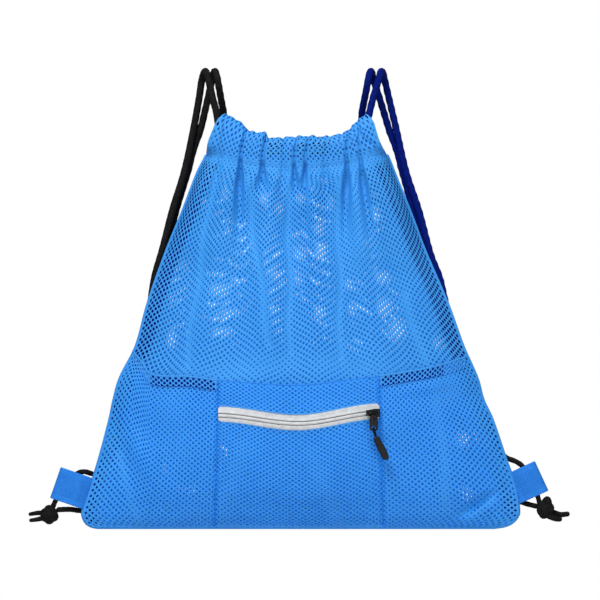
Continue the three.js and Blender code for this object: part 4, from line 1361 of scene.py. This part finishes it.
def make_hem(name, start, stop, dark_start, dark_stop):
    def surface(s, h):
        return hem_surface(lerp(start, stop, s), HEM_HEIGHT * (1 - h), HEM_LIFT)

    shape = Shape()
    net(shape, Sheet(surface, *HEM_FINE), HEM_COLUMNS, HEM_ROWS, hem_holes, opened="low")
    roll = hem_surface(np.linspace(start, stop, ROLL_POINTS), ROLL_DROP, HEM_LIFT - ROLL_SINK)
    tube(shape, resample(roll, ROLL_STEP), HEM_ROLL, ROLL_SIDES)
    made = piece(f"{name}_hem", shape, [mesh_cloth])
    # A dark sheet under the hem's holes: painted shade
    dark = Shape()
    columns = np.linspace(dark_start, dark_stop, SHADE_SHEET_COLUMNS)
    x, drop = grid(columns, np.linspace(*SHADE_SHEET_DROP, SHADE_SHEET_ROWS))
    strip(dark, hem_surface(x, drop, HEM_LIFT - SHADE_SHEET_SINK))
    hem_shade_sheet = piece(f"{name}_hem_painted_shade", dark, [binding_and_painted_shade])
    return made, hem_shade_sheet


hems = [make_hem(name, **hem) for name, hem in HEMS.items()]


# Sewn lines of the pocket: a fine thread along its upright seams and the middle of its top
THREAD_RADIUS = 0.35
THREAD_LIFT = 0.25
THREAD_STEP = 1.5
THREAD_DROP = 0.6
THREAD_SIDES = 6
UPRIGHT_POINTS = 150
MIDDLE_POINTS = 120
UPRIGHT_Z = (BOTTOM_Z + 2, -297)
MIDDLE_X = (-82, 78.5)


def make_stitching():
    z = np.linspace(*UPRIGHT_Z, UPRIGHT_POINTS)
    lines = [pocket_surface(seam(z), z) - (0, THREAD_LIFT, 0) for seam in (pocket_left, pocket_right)]
    lines.append(hem_surface(np.linspace(*MIDDLE_X, MIDDLE_POINTS), THREAD_DROP, THREAD_LIFT))
    shape = Shape()
    for line in lines:
        tube(shape, resample(line, THREAD_STEP), THREAD_RADIUS, THREAD_SIDES)
    return piece("pocket_stitching", shape, [thread])


pocket_stitching = make_stitching()


# Webbing tabs
RIB_PITCH = 1.5
RIB_RELIEF = 0.2
# Below this, a face counts as in a rib's groove and gets the painted shade
RIB_GROOVES = -0.3
TAB_GAP = 0.15
TAB_EDGE = 0.8
TAB_EDGE_LEAST = 0.25
TAB_STEP = 1
TAB_EASING = 2
TAB_TURN_POINTS = 15
RIB_POINTS = 4


def make_tab(name, x, z, out, free):
    radius = TAB_ROOM + WEBBING / 2
    root = TAB_GAP + WEBBING / 2
    turn = np.linspace(np.pi / 2, 3 * np.pi / 2, TAB_TURN_POINTS)
    loop = [(free + TAB_SEWN, root), (free, root), (free - TAB_TAPER, radius)]
    loop += [(radius + radius * math.cos(t), radius * math.sin(t)) for t in turn]
    loop += [(free - TAB_TAPER, -radius), (free, -root), (free + TAB_SEWN, -root)]
    path = eased(resample([(a, y, 0) for a, y in loop], TAB_STEP), TAB_EASING)
    tangent = unit(np.gradient(path, axis=0))
    outward = np.stack([-tangent[:, 1], tangent[:, 0], 0 * tangent[:, 0]], axis=1)
    columns = int(TAB_WIDTH / RIB_PITCH * RIB_POINTS) + 1
    across = np.linspace(-TAB_WIDTH / 2, TAB_WIDTH / 2, columns)
    edge = np.clip((TAB_WIDTH / 2 - np.abs(across)) / TAB_EDGE, 0, 1) ** 0.5
    ribs = WEBBING / 2 - RIB_RELIEF + RIB_RELIEF * np.cos(2 * np.pi * across / RIB_PITCH)
    half = ribs * np.maximum(edge, TAB_EDGE_LEAST)
    section_w = np.concatenate([across, across[::-1]])
    section_t = np.concatenate([half, -half[::-1]])
    local = path[:, None] + outward[:, None] * section_t[None, :, None]
    inward = -np.array([out[0], 0, out[1]]) / math.hypot(*out)
    sideways = np.array([0.0, 1, 0])
    width_dir = np.cross(inward, sideways)
    points = (np.array([x, 0, z]) + local[..., :1] * inward + local[..., 1:2] * sideways
              + section_w[None, :, None] * width_dir)
    sides = len(section_w)
    shape = Shape()
    caps = np.arange(sides)[None]
    last = (len(path) - 1) * sides
    # Faces in the ribs' grooves, which get the darker webbing of painted shade
    shaded_rib_faces = np.cos(2 * np.pi * (section_w + np.roll(section_w, -1)) / 2 / RIB_PITCH) < RIB_GROOVES
    shape.add(points, rings(len(path), sides), caps[:, ::-1], caps + last,
              finish=[np.tile(shaded_rib_faces, len(path) - 1), 0, 0])
    made = piece(f"{name}_webbing", shape, [webbing, webbing_groove_shade])
    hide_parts(name)
    return made


tabs = [make_tab(name, **tab) for name, tab in TABS.items()]


# Zip: tape and chain as one ribbed strip in the pocket's window
ZIP_EDGE = 8.8
ZIP_PROFILE = table("offset out", [
    (ZIP_EDGE, -1.2), (7.6, -0.1), (6.4, 0.1), (3.4, 0.25), (1.9, 0.75), (1.0, 0.6), (0.3, -0.3),
    (-0.4, 0.5), (-1.6, 0.95), (-2.8, 0.5), (-3.5, -0.3), (-4.2, 0.45), (-5.6, 0.35), (-7.4, -0.1),
    (-ZIP_EDGE, -1.2),
])
# Places of the zip's grooves, which are grey with painted shade
ZIP_GROOVES = (0.3, -3.5)
GROOVE_HALF = 0.55
ZIP_CORNER = 2.6
ZIP_COLUMNS = 330
ZIP_ROWS = 89


def make_zip():
    x = np.linspace(ZIP_LEFT, ZIP_RIGHT, ZIP_COLUMNS)
    offsets = np.linspace(ZIP_EDGE, -ZIP_EDGE, ZIP_ROWS)
    out = np.interp(-offsets, -ZIP_PROFILE["offset"], ZIP_PROFILE["out"])
    base = pocket_surface(x, zip_line(x))
    points = np.zeros((len(x), len(offsets), 3))
    corner = np.clip(np.abs(offsets) - ZIP_HALF_WINDOW + ZIP_CORNER, 0, ZIP_CORNER)
    cut = ZIP_CORNER - np.sqrt(ZIP_CORNER ** 2 - corner ** 2)
    points[..., 0] = np.clip(x[:, None], x[0] + cut, x[-1] - cut)
    points[..., 1] = base[:, None, 1] - out[None]
    points[..., 2] = zip_line(x)[:, None] + offsets[None]
    middle = (offsets[:-1] + offsets[1:]) / 2
    # Faces along the grooves, which get grey as painted shade
    shaded_zip_faces = np.any([np.abs(middle - place) < GROOVE_HALF for place in ZIP_GROOVES], axis=0)
    shape = Shape()
    strip(shape, points, np.tile(shaded_zip_faces, len(x) - 1))
    made = piece("zip_strip", shape, [zip_tape, zip_groove_shade])
    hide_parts("zip_tape_upper", "zip_tape_lower", "zip_teeth")
    return made


zip_strip = make_zip()


# Carried-over pieces
FINISHES = {"zip_slider": gunmetal, "pull_tab": gunmetal, "pull_cord": cord_black, "pull_grip": rubber}
for name, material in FINISHES.items():
    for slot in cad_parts[name].material_slots:
        slot.material = material


# Floor, in metres
FLOOR_RADIUS = 1.2
FLOOR_Z = -0.75
FLOOR_SIDES = 96
FLOOR_COLOR = (235, 235, 236)
FLOOR_ROUGHNESS = 0.9


def make_floor():
    angle = np.linspace(0, 2 * np.pi, FLOOR_SIDES, endpoint=False)
    mesh = bpy.data.meshes.new("floor")
    height = np.full(FLOOR_SIDES, FLOOR_Z)
    points = np.stack([FLOOR_RADIUS * np.cos(angle), FLOOR_RADIUS * np.sin(angle), height], axis=1)
    mesh.from_pydata(points.tolist(), [], [list(range(FLOOR_SIDES))])
    floor = add_object("floor", mesh)
    mesh.materials.append(principled("floor", FLOOR_COLOR, FLOOR_ROUGHNESS)[0])


make_floor()
